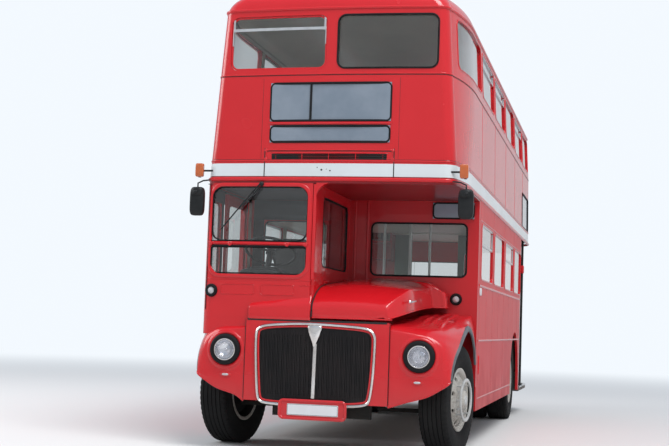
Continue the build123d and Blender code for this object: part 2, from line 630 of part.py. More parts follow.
# Lower floor with its bearers and the boxes over the rear wheels
WHEEL_BOX = (REAR_AXLE - 620.0, REAR_AXLE + 620.0, 1110.0)
BOX_SHEET = 20.0
TWIN_OUT = HALF_WIDTH - 184.0
TWIN_INNER = TWIN_OUT - 475.0
BEARER = 30.0
floor_under = FLOOR_TOP - FLOOR
floor = box(-WALL_IN, WALL_IN, cab_end, PLATFORM_FRONT, floor_under, FLOOR_TOP)
for y in [FIRST_PILLAR + bay * BAY for bay in range(BAYS)] + [PLATFORM_FRONT - 2 * BEARER]:
    floor += box(-WALL_IN, WALL_IN, y - BEARER, y + BEARER, RAIL_TOP, floor_under)
y0, y1, z1 = WHEEL_BOX
for hole in pair(box(TWIN_INNER, WALL_IN, y0, y1, 0, FLOOR_TOP + 1)):
    floor -= hole
cover = box(TWIN_INNER, WALL_IN, y0 - BOX_SHEET, y1 + BOX_SHEET, floor_under, z1 + BOX_SHEET)
cover -= box(TWIN_INNER + BOX_SHEET, HALF_WIDTH, y0, y1, 0, z1)
for piece in pair(cover):
    floor += piece
save("floor_lower", floor)

# Rear platform with its step up to the saloon
platform = body_block(PLATFORM_TOP - 55, PLATFORM_TOP) & box(-BIG, BIG, PLATFORM_FRONT, BIG, 0, BIG)
closed_part = box(-BIG, REAR_OPENING_X, -BIG, BIG, 0, BIG)
platform -= body_ring(PLATFORM_TOP - 80, PLATFORM_TOP + 20, WALL) & closed_part
save("platform", platform)

# Staircase: three winders round the newel, a straight flight forwards, and its side panel
RISE = (UPPER_FLOOR_TOP - PLATFORM_TOP) / (STAIR_STEPS + 4)
TREAD = 30.0
RISER = 20.0
STAIR_PANEL = 20.0
newel = (STAIR_INNER, STAIR_REAR)
third_rear = (STAIR_INNER - (STAIR_LANDING - STAIR_REAR) * tan(radians(30)), STAIR_LANDING)
third_side = (STAIR_OUTER, STAIR_REAR + STAIR_WIDTH * tan(radians(30)))
WINDERS = [
    [newel, (STAIR_INNER, STAIR_LANDING), third_rear],
    [newel, third_rear, (STAIR_OUTER, STAIR_LANDING), third_side],
    [newel, third_side, (STAIR_OUTER, STAIR_REAR)],
]
newel = (STAIR_INNER - 18, STAIR_INNER + STAIR_PANEL)
flight = box(*newel, STAIR_REAR - 30, STAIR_REAR + 30, PLATFORM_TOP, BAND_UNDER)
for step, corners in enumerate(WINDERS):
    wedge = extrude(make_face(Polyline(*corners, close=True)), RISE * (step + 1))
    flight += Pos(0, 0, PLATFORM_TOP) * wedge
for step in range(STAIR_STEPS):
    top = PLATFORM_TOP + RISE * (step + 4)
    y1 = STAIR_REAR - STAIR_GOING * step
    flight += box(STAIR_OUTER, STAIR_INNER, y1 - STAIR_GOING, y1, top - TREAD, top)
    flight += box(STAIR_OUTER, STAIR_INNER, y1 - RISER, y1, top - RISE - TREAD, top)
panel_x = STAIR_INNER + STAIR_PANEL
flight += box(STAIR_INNER, panel_x, STAIR_FRONT, PLATFORM_FRONT - 5, UPPER_FLOOR_TOP - 500, BAND_UNDER)
flight += box(STAIR_INNER, panel_x, bulkhead_end + 5, STAIR_REAR, PLATFORM_TOP, BAND_UNDER)
save("staircase", flight & body_block(SKIRT, BAND_UNDER, WALL))

# Wings: a side profile drawn once, run out to the body side with a rolled shoulder, and hollowed
# round the wheel
WING_INNER_NEAR = COWL[1]
WING_INNER_OFF = -COWL[0]
WING_FACE = COWL_FACE + 10
WING_OUTER = HALF_WIDTH - 1
WING_ROLL = 70.0


def wing(inner):
    """A nearside wing between its inner edge and the body side."""
    side = Plane(origin=(inner, 0, 0), x_dir=(0, 1, 0), z_dir=(1, 0, 0))
    lines = [
        Line((WING_FACE, 560), (WING_FACE, 1010)),
        TangentArc((WING_FACE, 1010), (110, 1150), tangent=(0, 1)),
        ThreePointArc((110, 1150), (FRONT_AXLE, 1245), (BULKHEAD, 1262)),
        Line((BULKHEAD, 1262), (BULKHEAD, SKIRT)),
        Line((BULKHEAD, SKIRT), (BULKHEAD - 40, SKIRT)),
        Line((BULKHEAD - 40, SKIRT), (WING_FACE, 560)),
    ]
    block = extrude(side * make_face(lines), WING_OUTER - inner)
    shoulder = []
    for edge in block.edges():
        spot = edge.center()
        if abs(spot.X - WING_OUTER) < 1 and spot.Z > 1100:
            shoulder.append(edge)
    return fillet(shoulder, WING_ROLL) - wheel_arch(FRONT_AXLE, WING_ARCH, inner - 50, WING_OUTER + 50)


save("wing_nearside", wing(WING_INNER_NEAR))
save("wing_offside", other_side(wing(WING_INNER_OFF)) - body_block(CAB_SILL, CANOPY_UNDER))

# Headlamps on the wings' faces: a rim and a domed lens turned about the lamp's middle
LAMP_X = HALF_WIDTH - 329.0
LAMP_Z = 906.0
LAMP_RADIUS = 137.0
LENS_RADIUS = 97.0
LENS_DOME = 13.0
LENS_MIDDLE = 8.0
RIM_DEPTH = 34.0
lamp_plane = Plane(origin=(LAMP_X, WING_FACE, LAMP_Z), x_dir=(1, 0, 0), z_dir=(0, 0, 1))
lamp_lines = [
    Line((0, 0), (LAMP_RADIUS, 0)),
    Line((LAMP_RADIUS, 0), (LAMP_RADIUS, -RIM_DEPTH / 2)),
    Line((LAMP_RADIUS, -RIM_DEPTH / 2), (LENS_RADIUS, -RIM_DEPTH)),
    ThreePointArc(
        (LENS_RADIUS, -RIM_DEPTH),
        (LENS_RADIUS / 2, -RIM_DEPTH - 0.75 * LENS_DOME),
        (LENS_MIDDLE, -RIM_DEPTH - LENS_DOME),
    ),
    Line((LENS_MIDDLE, -RIM_DEPTH - LENS_DOME), (0, -RIM_DEPTH - LENS_DOME)),
    Line((0, -RIM_DEPTH - LENS_DOME), (0, 0)),
]
lamp = revolve(lamp_plane * make_face(lamp_lines), Axis((LAMP_X, 0, LAMP_Z), (0, 1, 0)))
save("headlamps", pair(lamp))

# Front subframe: two rails, cross members, wishbones and the cross beam with the towing jaw
SUBFRAME_X = (390.0, 450.0)
RAIL_DEPTH = 100.0
rail_under = RAIL_TOP - RAIL_DEPTH
CROSS_TOP = RAIL_TOP - 40.0
FRONT_WHEEL_X = HALF_WIDTH - 179.0
KING_PIN = FRONT_WHEEL_X - 110.0
ARM_LOW = (365.0, 400.0)
ARM_HIGH = (RAIL_TOP + 12, RAIL_TOP + 40)
BEAM = (60.0, 150.0, 330.0, 440.0)
y0, y1, z0, z1 = BEAM
rail_in, rail_out = SUBFRAME_X
subframe = box(-rail_out, rail_out, y0, y1, z0, z1)
for y in (FRONT_AXLE, 1500.0, 2090.0):
    subframe += box(-rail_in, rail_in, y - 30, y + 30, rail_under, CROSS_TOP)
corner = box(rail_in, rail_out, y0, 2150, rail_under, RAIL_TOP)
corner += box(rail_in, rail_out, y0, y1, z1, rail_under)
corner += box(rail_in, rail_out, FRONT_AXLE - 40, FRONT_AXLE + 40, ARM_LOW[0], ARM_HIGH[1])
for z0, z1 in (ARM_LOW, ARM_HIGH):
    corner += box(rail_in, KING_PIN + 30, FRONT_AXLE - 40, FRONT_AXLE + 40, z0, z1)
for piece in pair(corner):
    subframe += piece
TOW_PIN = 17.5
TOW_Y = (BEAM[0] + BEAM[1]) / 2
save("subframe_front", subframe - rod((0, TOW_Y, BEAM[2] - 30), (0, TOW_Y, BEAM[3] + 20), TOW_PIN))

# Engine as one plain block in its bay, on the subframe's cross members
save("engine", box(-300, 300, 180, 1380, CROSS_TOP + SEAT_GAP, 1140))

# Rear axle with its differential, radius arms and springs
TYRE_RADIUS = 507.0
WHEEL_CENTRE = TYRE_RADIUS
AXLE_TUBE = 70.0
AXLE_END = TWIN_OUT - 105.0
DIFFERENTIAL = 125.0
ARM_X = (400.0, 470.0)
axle = rod((-AXLE_END, REAR_AXLE, WHEEL_CENTRE), (AXLE_END, REAR_AXLE, WHEEL_CENTRE), AXLE_TUBE)
casing = rod((-115, REAR_AXLE, WHEEL_CENTRE), (115, REAR_AXLE, WHEEL_CENTRE), DIFFERENTIAL)
axle += fillet(casing.edges(), 50)
arm_front = REAR_AXLE - 1001
arm = box(ARM_X[0], ARM_X[1], arm_front, REAR_AXLE + 549, 350, 445)
arm += box(ARM_X[0], ARM_X[1], arm_front, arm_front + 100, 440, floor_under)
spring = ((ARM_X[0] + ARM_X[1]) / 2, REAR_AXLE + 479)
arm += rod((spring[0], spring[1], 440), (spring[0], spring[1], floor_under), 65)
for piece in pair(arm):
    axle += piece
save("axle_rear", axle)

# Under the floor: the gearbox between the rails, the shaft to the rear axle and the fuel tank
GEARBOX = (-170.0, 170.0, 425.0, RAIL_TOP - 2, 50.0)
GEARBOX_Y = (1650.0, 2040.0)
SHAFT_Z = 448.0
SHAFT = 38.0
TANK = (70 - WALL_IN, 430 - WALL_IN, SKIRT + 25, RAIL_TOP - SEAT_GAP, 45.0)
TANK_START = FIRST_PILLAR + BAY - BEARER
gearbox = along(GEARBOX, GEARBOX_Y[0], GEARBOX_Y[1])
for piece in pair(box(GEARBOX[1] - 40, rail_in - SEAT_GAP, 1800, 1860, rail_under + 20, CROSS_TOP)):
    gearbox += piece
shaft_end = REAR_AXLE - DIFFERENTIAL - SEAT_GAP
gearbox += rod((0, GEARBOX_Y[1] - 10, SHAFT_Z), (0, shaft_end, WHEEL_CENTRE), SHAFT)
bearing_y = FIRST_PILLAR + 2 * BAY
gearbox += box(-55, 55, bearing_y - 20, bearing_y + 20, SHAFT_Z - 30, RAIL_TOP - SEAT_GAP)
save("underfloor_units", gearbox, along(TANK, TANK_START, TANK_START + 850))

# Front corners as the nearside has them: king pin and stub axle, wheel rim and tyre. Each is turned
# about its king pin as the wheels stand, and mirrored for the offside before it is turned.
STEER = -8.0
STUB = 38.0
pin_low = (KING_PIN, FRONT_AXLE, ARM_LOW[1] + SEAT_GAP)
pin_high = (KING_PIN, FRONT_AXLE, ARM_HIGH[0] - SEAT_GAP)
knuckle = rod(pin_low, pin_high, STUB)
knuckle += rod((KING_PIN, FRONT_AXLE, WHEEL_CENTRE), (FRONT_WHEEL_X + 125, FRONT_AXLE, WHEEL_CENTRE), STUB)

# Wheel rim: flanged barrel, dished disc with hand holes and hub, as a ring profile about the axle.
# Each point holds the distance out from the tyre's middle and the radius.
RIM_RADIUS = 259.0
BARREL = 246.0
FLANGE = 293.0
RIM_PROFILE = [
    (119, FLANGE),
    (119, 281),
    (108, 256),
    (92, BARREL),
    (70, BARREL),
    (48, 150),
    (125, 110),
    (140, 90),
    (140, STUB + SEAT_GAP),
    (60, STUB + SEAT_GAP),
    (36, 140),
    (50, BARREL),
    (-92, BARREL),
    (-108, 256),
    (-119, 281),
    (-119, FLANGE),
    (-111, FLANGE),
    (-101, RIM_RADIUS),
    (101, RIM_RADIUS),
    (111, FLANGE),
]
GUARD = (168.0, 192.0, 118.0, 140.0)
GUARD_POSTS = 4
HAND_HOLES = 8
HAND_HOLE = (205.0, 22.0)


def about_axle(profile):
    """A profile of places out and radii, turned about the wheel's own axis."""
    plane = Plane(origin=(0, 0, 0), x_dir=(1, 0, 0), z_dir=(0, -1, 0))
    return revolve(plane * make_face(profile), Axis.X)


def pierced(wheel, x0, x1):
    """A wheel with a ring of hand holes through its disc."""
    radius, hole = HAND_HOLE
    for turn in range(HAND_HOLES):
        wheel -= Rot(360 / HAND_HOLES * turn, 0, 0) * rod((x0, 0, radius), (x1, 0, radius), hole)
    return wheel


rim = pierced(about_axle(Polyline(*RIM_PROFILE, close=True)), 30, 90)
r0, r1, guard_in, guard_out = GUARD
rim += rod((guard_in, 0, 0), (guard_out, 0, 0), r1) - rod((guard_in, 0, 0), (guard_out, 0, 0), r0)
for post in range(GUARD_POSTS):
    rim += Rot(360 / GUARD_POSTS * (post + 0.5), 0, 0) * rod((45, 0, 178), (guard_in + 2, 0, 178), 9)

# Tyre section: bead, side wall, shoulder and tread
TYRE_WIDTH = 280.0
BEAD = RIM_RADIUS + SEAT_GAP
w = TYRE_WIDTH / 2
tyre = about_axle(
    [
        Line((-w + 40, BEAD), (-w + 30, BEAD + 34)),
        ThreePointArc((-w + 30, BEAD + 34), (-w, 400), (-w + 14, TYRE_RADIUS - 16)),
        Line((-w + 14, TYRE_RADIUS - 16), (-w + 34, TYRE_RADIUS)),
        Line((-w + 34, TYRE_RADIUS), (w - 34, TYRE_RADIUS)),
        Line((w - 34, TYRE_RADIUS), (w - 14, TYRE_RADIUS - 16)),
        ThreePointArc((w - 14, TYRE_RADIUS - 16), (w, 400), (w - 30, BEAD + 34)),
        Line((w - 30, BEAD + 34), (w - 40, BEAD)),
        Line((w - 40, BEAD), (-w + 40, BEAD)),
    ]
)

front_place = Pos(FRONT_WHEEL_X, FRONT_AXLE, WHEEL_CENTRE)
CORNER = {"knuckle_front": knuckle, "rim_front": front_place * rim, "tyre_front": front_place * tyre}
for kind, piece in CORNER.items():
    save(f"{kind}_nearside", piece.rotate(Axis((KING_PIN, FRONT_AXLE, 0), (0, 0, 1)), STEER))
    save(f"{kind}_offside", other_side(piece).rotate(Axis((-KING_PIN, FRONT_AXLE, 0), (0, 0, 1)), STEER))

# Rear twins: two tyres on one deep wheel with its disc dished inwards and the hub over the axle end.
# Each point holds the distance out from the outer tyre's middle and the radius.
TWIN_GAP = 305.0
HUB_REACH = 92.0
BORE_END = AXLE_END - TWIN_OUT + 5
REAR_RIM_PROFILE = [
    (119, FLANGE),
    (119, 281),
    (108, 256),
    (92, BARREL),
    (-20, BARREL),
    (-44, 150),
    (-20, 128),
    (70, 112),
    (HUB_REACH, 92),
    (HUB_REACH, 0),
    (BORE_END, 0),
    (BORE_END, AXLE_TUBE + SEAT_GAP),
    (BORE_END - 50, AXLE_TUBE + SEAT_GAP),
    (BORE_END - 50, 125),
    (-64, 150),
    (-40, BARREL),
    (-TWIN_GAP - 92, BARREL),
    (-TWIN_GAP - 108, 256),
    (-TWIN_GAP - 119, 281),
    (-TWIN_GAP - 119, FLANGE),
    (-TWIN_GAP - 111, FLANGE),
    (-TWIN_GAP - 101, RIM_RADIUS),
    (101, RIM_RADIUS),
    (111, FLANGE),
]
rear_place = Pos(TWIN_OUT, REAR_AXLE, WHEEL_CENTRE)
rear_rim = rear_place * pierced(about_axle(Polyline(*REAR_RIM_PROFILE, close=True)), -90, 0)
rear_tyres = [rear_place * tyre, rear_place * Pos(-TWIN_GAP, 0, 0) * tyre]
save("rim_rear_nearside", rear_rim)
save("rim_rear_offside", other_side(rear_rim))
save("tyre_rear_nearside", rear_tyres)
save("tyre_rear_offside", [other_side(t) for t in rear_tyres])

# Seats: a pan and a back board on two legs, with a cushion and a squab
AISLE = 310.0
SEAT_WIDTH = WALL_IN - 59 - AISLE
SEAT_HEIGHT = 430.0
SEAT_DEPTH = 420.0
CUSHION = 100.0
SQUAB = (80.0, 480.0)
BOARD = 15.0
BOARD_HEIGHT = 560.0
PAN = 20.0
LEG = 30.0
frames = []
cushions = []


def double_seat(x0, y, floor_level):
    """Frame, cushion and squab of one forward-facing double seat whose front edge is at y."""
    squab, squab_height = SQUAB
    x1 = x0 + SEAT_WIDTH
    pan_top = floor_level + SEAT_HEIGHT - CUSHION
    back = y + SEAT_DEPTH + squab
    frame = box(x0, x1, y, back + BOARD, pan_top - PAN, pan_top)
    frame += box(x0, x1, back, back + BOARD, pan_top - PAN, pan_top + BOARD_HEIGHT)
    for leg in (x0 + 2 * LEG, x1 - 3 * LEG):
        frame += box(leg, leg + LEG, y + 180, y + 180 + LEG, floor_level, pan_top - PAN)
    seat = box(x0 + 4, x1 - 4, y + 5, y + SEAT_DEPTH, pan_top + SEAT_GAP, pan_top + CUSHION)
    rest_y = y + SEAT_DEPTH + SEAT_GAP
    rest = box(x0 + 4, x1 - 4, rest_y, back - SEAT_GAP, pan_top + SEAT_GAP, pan_top + CUSHION + squab_height)
    return frame, [seat, rest]


# Rows of seats: the first row's place, the pitch and the place that the last row stays clear of
LOWER_ROWS = (1700.0, 720.0, WHEEL_BOX[0] - 60)
UPPER_ROWS = (560.0, 725.0, REAR_SPLIT - 260)
ROW_LENGTH = SEAT_DEPTH + SQUAB[0] + BOARD


def row_places(rows):
    """The places of all the rows of seats that fit."""
    first, pitch, end = rows
    return [first + pitch * row for row in range(int((end - ROW_LENGTH - first) / pitch) + 1)]


SEAT_PLACES = []
for y in row_places(LOWER_ROWS):
    SEAT_PLACES.extend([(AISLE, y, FLOOR_TOP), (-AISLE - SEAT_WIDTH, y, FLOOR_TOP)])
for y in row_places(UPPER_ROWS):
    SEAT_PLACES.append((AISLE, y, UPPER_FLOOR_TOP))
    if y + ROW_LENGTH + 85 < STAIR_FRONT:
        SEAT_PLACES.append((-AISLE - SEAT_WIDTH, y, UPPER_FLOOR_TOP))
for place in SEAT_PLACES:
    frame, soft = double_seat(*place)
    frames.append(frame)
    cushions.extend(soft)

# Two long seats over the rear wheel boxes
bench_z = WHEEL_BOX[2] + BOX_SHEET
bench = box(TWIN_INNER, WALL_IN - 90, WHEEL_BOX[0], WHEEL_BOX[1] - 40, bench_z + SEAT_GAP, bench_z + 90)
save("seat_frames", frames)
save("seat_cushions", cushions, pair(bench))

# Driver's seat on its pedestal
DRIVER_X = -680.0
SEAT_PAN = (1560.0, 1640.0)
seat = box(DRIVER_X - 230, DRIVER_X + 230, 900, 1330, SEAT_PAN[0], SEAT_PAN[1])
seat += box(DRIVER_X - 200, DRIVER_X + 200, 1330, 1390, SEAT_PAN[0], 2050)
seat += rod((DRIVER_X, 1115, CAB_FLOOR_TOP), (DRIVER_X, 1115, SEAT_PAN[0] + 10), 60)
save("driver_seat", seat)

# Steering column, and the wheel that turns on it
WHEEL_POINT = Vector(DRIVER_X, 600.0, 1840.0)
COLUMN_FOOT = Vector(DRIVER_X, 250.0, CAB_FLOOR_TOP)
STEERING_RADIUS = 240.0
STEERING_HUB = 50.0
SPOKES = 3
column_axis = (WHEEL_POINT - COLUMN_FOOT).normalized()
column_top = WHEEL_POINT - column_axis * (STEERING_HUB / 2 + SEAT_GAP)
column = rod(COLUMN_FOOT - column_axis * 40, column_top, 30)
save("steering_column", column - box(-BIG, BIG, -BIG, BIG, 0, CAB_FLOOR_TOP))
steering_plane = Plane(origin=WHEEL_POINT, z_dir=column_axis)
steering = steering_plane * Cylinder(45, STEERING_HUB)
for spoke in range(SPOKES):
    bar = Rot(0, 0, 360 / SPOKES * spoke) * Pos(STEERING_RADIUS / 2, 0, 0) * Box(STEERING_RADIUS, 22, 12)
    steering += steering_plane * bar
save("steering_wheel", steering_plane * Torus(STEERING_RADIUS, 14) + steering)

# Handrails: the platform pole, the rail on the bulkhead, and poles beside the aisle
POLE = 16.0
POLE_PLACES = [
    (HALF_WIDTH - 29, PLATFORM_FRONT + 610, PLATFORM_TOP),
    (DOORWAY + 40, PLATFORM_FRONT + 90, PLATFORM_TOP),
]
lower_places = row_places(LOWER_ROWS)
for y in lower_places[1::2]:
    for x in (AISLE - 25, 25 - AISLE):
        POLE_PLACES.append((x, y + 470, FLOOR_TOP))
save("handrails", [rod((x, y, z), (x, y, BAND_UNDER), POLE) for x, y, z in POLE_PLACES])

# Mirrors on arms at the front corners, and the windscreen wiper
MIRROR = (HALF_WIDTH + 4, HALF_WIDTH + 106, CANOPY_UNDER - 303, CANOPY_UNDER - 43, 30.0)
mirror_x = (MIRROR[0] + MIRROR[1]) / 2
arm_top = (mirror_x, 60, CANOPY_UNDER + 7)
mirror_arm = rod((HALF_WIDTH - 139, 60, CANOPY_UNDER + 34), arm_top, 9)
mirror_arm += rod(arm_top, (mirror_x, 60, MIRROR[3] - 5), 9)
mirror_piece = along(MIRROR, 30, 90) + (mirror_arm - body_block(CANOPY_UNDER, BAND_TOP))
wiper_z = CANOPY_UNDER - 9
wiper = rod((-620, -12, wiper_z), (-720, -14, wiper_z - 344), 7)
wiper += rod((-620, -19, wiper_z), (-620, 60, wiper_z), 7)
save("mirrors_and_wiper", pair(mirror_piece), wiper - body_block(SKIRT, CANOPY_UNDER))

# Orange indicators on short stalks beside the white band
INDICATOR = (HALF_WIDTH - 24, HALF_WIDTH + 56, BAND_UNDER - 17, BAND_TOP + 5, 12.0)
stalk_z = (BAND_UNDER + BAND_TOP) / 2 - 6
indicator = along(INDICATOR, 20, 90)
indicator += rod((HALF_WIDTH - 139, 70, stalk_z), (HALF_WIDTH - 19, 70, stalk_z), 10)
save("indicators", pair(indicator - body_block(BAND_UNDER, BAND_TOP)))
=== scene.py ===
"""Looks of a half-cab double decker bus with an open rear platform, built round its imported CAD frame."""
from math import cos, pi, radians, sin
import bmesh
import bpy
import numpy as np
from mathutils import Matrix, Vector


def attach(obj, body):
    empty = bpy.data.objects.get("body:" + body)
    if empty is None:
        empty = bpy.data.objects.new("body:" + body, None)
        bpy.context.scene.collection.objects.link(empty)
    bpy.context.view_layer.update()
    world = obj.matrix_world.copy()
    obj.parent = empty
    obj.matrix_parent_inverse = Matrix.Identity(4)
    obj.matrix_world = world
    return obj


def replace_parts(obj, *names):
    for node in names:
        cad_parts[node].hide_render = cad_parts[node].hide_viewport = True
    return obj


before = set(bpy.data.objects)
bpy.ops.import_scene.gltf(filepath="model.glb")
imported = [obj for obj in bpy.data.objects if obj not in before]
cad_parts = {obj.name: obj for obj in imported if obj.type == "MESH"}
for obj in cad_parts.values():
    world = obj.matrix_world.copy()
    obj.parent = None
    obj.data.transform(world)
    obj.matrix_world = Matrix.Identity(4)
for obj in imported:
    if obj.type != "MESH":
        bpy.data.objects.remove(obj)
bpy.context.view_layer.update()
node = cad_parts

# Camera. The photograph was taken from a standing height, about eleven metres ahead of the coach
# and two and a half to its nearside, with the frame turned a little to level the deck.
CAMERA_AT = (2.6181, -14.8936, 1.1508)
YAW, PITCH, ROLL = -0.231, 0.083, 0.035
SENSOR_WIDTH, FOCAL_LENGTH, FAR_LIMIT = 36.0, 66.45, 400.0


def placed(name, data):
    """An object of a mesh, a lamp or a camera, in the scene, at the origin."""
    made = bpy.data.objects.new(name, data)
    bpy.context.scene.collection.objects.link(made)
    return made


view = Vector((sin(YAW) * cos(PITCH), cos(YAW) * cos(PITCH), sin(PITCH)))
level_right = Vector((cos(YAW), -sin(YAW), 0))
level_up = level_right.cross(view)
right = level_right * cos(ROLL) + level_up * sin(ROLL)
up = level_up * cos(ROLL) - level_right * sin(ROLL)
camera_data = bpy.data.cameras.new("camera")
camera_data.sensor_width, camera_data.lens, camera_data.clip_end = SENSOR_WIDTH, FOCAL_LENGTH, FAR_LIMIT
camera = placed("camera", camera_data)
camera.matrix_world = Matrix.Translation(CAMERA_AT) @ Matrix((right, up, -view)).transposed().to_4x4()
bpy.context.scene.camera = camera
bpy.context.scene.view_settings.view_transform = "Standard"

# Floor, sky and lamps. The coach stands on a wide pale floor that fades into a pale sky; the sky
# gives the even light of a bright overcast day, and a large soft lamp stands high at the front.
SKY = (0.90, 0.95, 1.0, 1)
SKY_LOW, SKY_HIGH, SKY_HIGH_AT = (0.92, 0.94, 0.96, 1), (0.72, 0.82, 0.96, 1), 0.75
SKY_STRENGTH = 0.74
FLOOR_DARK, FLOOR_LIGHT = (0.70, 0.68, 0.66, 1), (0.78, 0.77, 0.75, 1)
FLOOR_RADIUS, FADE_FROM, FADE_TO = 150, 9.0, 26.0


def wired(tree, kind, inputs=(), **settings):
    """Add a node, set its settings, fill its sockets with values or with links from other sockets, and
    give back its outputs."""
    made = tree.nodes.new(kind if kind.startswith("NodeGroup") else "ShaderNode" + kind)
    for name, value in settings.items():
        setattr(made, name, value)
    for key, value in dict(inputs).items():
        if isinstance(value, bpy.types.NodeSocket):
            tree.links.new(value, made.inputs[key])
        else:
            made.inputs[key].default_value = value
    return made.outputs


def blended(tree, share, first, second):
    """The colour between two colours at a share: first x (1 - share) + second x share."""
    return wired(tree, "Mix", {0: share, 6: first, 7: second}, data_type="RGBA")[2]


def reckoned(tree, operation, *values, **settings):
    """One step of arithmetic on values or sockets."""
    return wired(tree, "Math", enumerate(values), operation=operation, **settings)[0]


def new_material(name):
    """A material with an empty node tree."""
    material = bpy.data.materials.new(name)
    material.use_nodes = True
    material.node_tree.nodes.clear()
    return material, material.node_tree


world = bpy.data.worlds.new("overcast")
bpy.context.scene.world = world
world.use_nodes = True
tree = world.node_tree
tree.nodes.clear()
rays = wired(tree, "LightPath")
direction = wired(tree, "TexCoord")
height = wired(tree, "SeparateXYZ", {0: direction["Generated"]})
sky = wired(tree, "ValToRGB", {0: height["Z"]})
low_end, high_end = sky[0].node.color_ramp.elements
low_end.position, low_end.color = 0.0, SKY_LOW
high_end.position, high_end.color = SKY_HIGH_AT, SKY_HIGH
lit = wired(tree, "Background", {0: sky[0], 1: SKY_STRENGTH})
seen = wired(tree, "Background", {0: SKY, 1: 1.0})
both = wired(tree, "MixShader", {0: rays["Is Camera Ray"], 1: lit[0], 2: seen[0]})
wired(tree, "OutputWorld", {0: both[0]})

floor_mesh = bpy.data.meshes.new("floor")
around = np.linspace(0, 2 * pi, 65)[:-1]
floor_ring = FLOOR_RADIUS * np.stack([np.cos(around), np.sin(around), 0 * around], 1)
floor_mesh.from_pydata(floor_ring.tolist(), [], [list(range(64))])
floor = placed("floor", floor_mesh)
material, tree = new_material("pale_floor")
place = wired(tree, "TexCoord")["Object"]
reach = wired(tree, "VectorMath", {0: place}, operation="LENGTH")
far = wired(tree, "MapRange", {0: reach["Value"], 1: FADE_FROM, 2: FADE_TO}, interpolation_type="SMOOTHSTEP")
grain = wired(tree, "TexNoise", {"Vector": place, "Scale": 90.0, "Detail": 4.0})
near = wired(tree, "BsdfDiffuse", {"Color": blended(tree, grain[0], FLOOR_DARK, FLOOR_LIGHT)})
glow = wired(tree, "Emission", {0: SKY, 1: 1.0})
rays = wired(tree, "LightPath")
share = reckoned(tree, "MULTIPLY", far[0], rays["Is Camera Ray"])
both = wired(tree, "MixShader", {0: share, 1: near[0], 2: glow[0]})
wired(tree, "OutputMaterial", {0: both[0]})
floor_mesh.materials.append(material)


def soft_lamp(name, at, towards, size, power):
    """A square lamp that faces a point."""
    data = bpy.data.lights.new(name, "AREA")
    data.size, data.energy = size, power
    lamp = placed(name, data)
    turned_to = (Vector(towards) - Vector(at)).to_track_quat("-Z", "Y").to_matrix().to_4x4()
    lamp.matrix_world = Matrix.Translation(at) @ turned_to


soft_lamp("front_lamp", (7.0, -11.0, 18.0), (0, -2.0, 2.0), 9.0, 3000.0)
soft_lamp("side_lamp", (-14.0, -4.0, 9.0), (0, 0, 2.5), 8.0, 900.0)

# Coach panels. The real sides, band, dome and cab are sheet aluminium panels on a riveted frame,
# sprayed glossy red over a filled ground, with a white band. They are the frame's own solids here.
RED = (0.54, 0.007, 0.012)


def life_group():
    """A shared effect: a finish that varies softly in patches, with fine specks, road grime near the
    ground and a faint uneven skin. Grime is the amount x how low the point lies x the specks."""
    group = bpy.data.node_groups.new("surface_life", "ShaderNodeTree")
    face = group.interface
    for name, value in (
        ("Colour", (0.5, 0.5, 0.5, 1)), ("Faded", (0.5, 0.5, 0.5, 1)), ("Grime", (0.05, 0.045, 0.04, 1)),
        ("Patch Size", 1.2), ("Grime Top", 0.9), ("Grime Amount", 0.4), ("Roughness", 0.3), ("Spread", 0.1),
        ("Speck Size", 60.0), ("Bump", 0.05),
    ):
        kind = "NodeSocketColor" if isinstance(value, tuple) else "NodeSocketFloat"
        face.new_socket(name, in_out="INPUT", socket_type=kind).default_value = value
    for name, kind in (("Color", "Color"), ("Roughness", "Float"), ("Normal", "Vector")):
        face.new_socket(name, in_out="OUTPUT", socket_type="NodeSocket" + kind)
    given = wired(group, "NodeGroupInput")
    place = wired(group, "TexCoord")["Object"]
    patch = wired(group, "TexNoise", {
        "Vector": place, "Scale": given["Patch Size"], "Detail": 3.0, "Roughness": 0.6,
    })
    specks = wired(group, "TexNoise", {"Vector": place, "Scale": given["Speck Size"], "Detail": 2.0})[0]
    faded = wired(group, "MapRange", {0: patch[0], 1: 0.35, 2: 0.7})
    base = blended(group, faded[0], given["Colour"], given["Faded"])
    height = wired(group, "SeparateXYZ", {0: place})
    low = wired(group, "MapRange", {0: height["Z"], 1: given["Grime Top"], 2: 0.3, 3: 0.0, 4: 1.0})
    streak = wired(group, "MapRange", {0: specks, 1: 0.3, 2: 0.75})
    dirt = reckoned(group, "MULTIPLY", low[0], streak[0])
    share = reckoned(group, "MULTIPLY", dirt, given["Grime Amount"])
    shade = blended(group, share, base, given["Grime"])
    rough = reckoned(group, "MULTIPLY_ADD", specks, given["Spread"], given["Roughness"])
    duller = reckoned(group, "MULTIPLY_ADD", share, 0.5, rough, use_clamp=True)
    skin = wired(group, "Bump", {"Strength": given["Bump"], "Distance": 0.01, "Height": specks})
    wired(group, "NodeGroupOutput", {0: shade, 1: duller, 2: skin[0]})
    return group


surface_life = life_group()


def alive(tree, values):
    """Place the shared effect in a material with its own values."""
    filled = {key: (*value, 1) if isinstance(value, tuple) else value for key, value in values.items()}
    return wired(tree, "Group", filled, node_tree=surface_life)


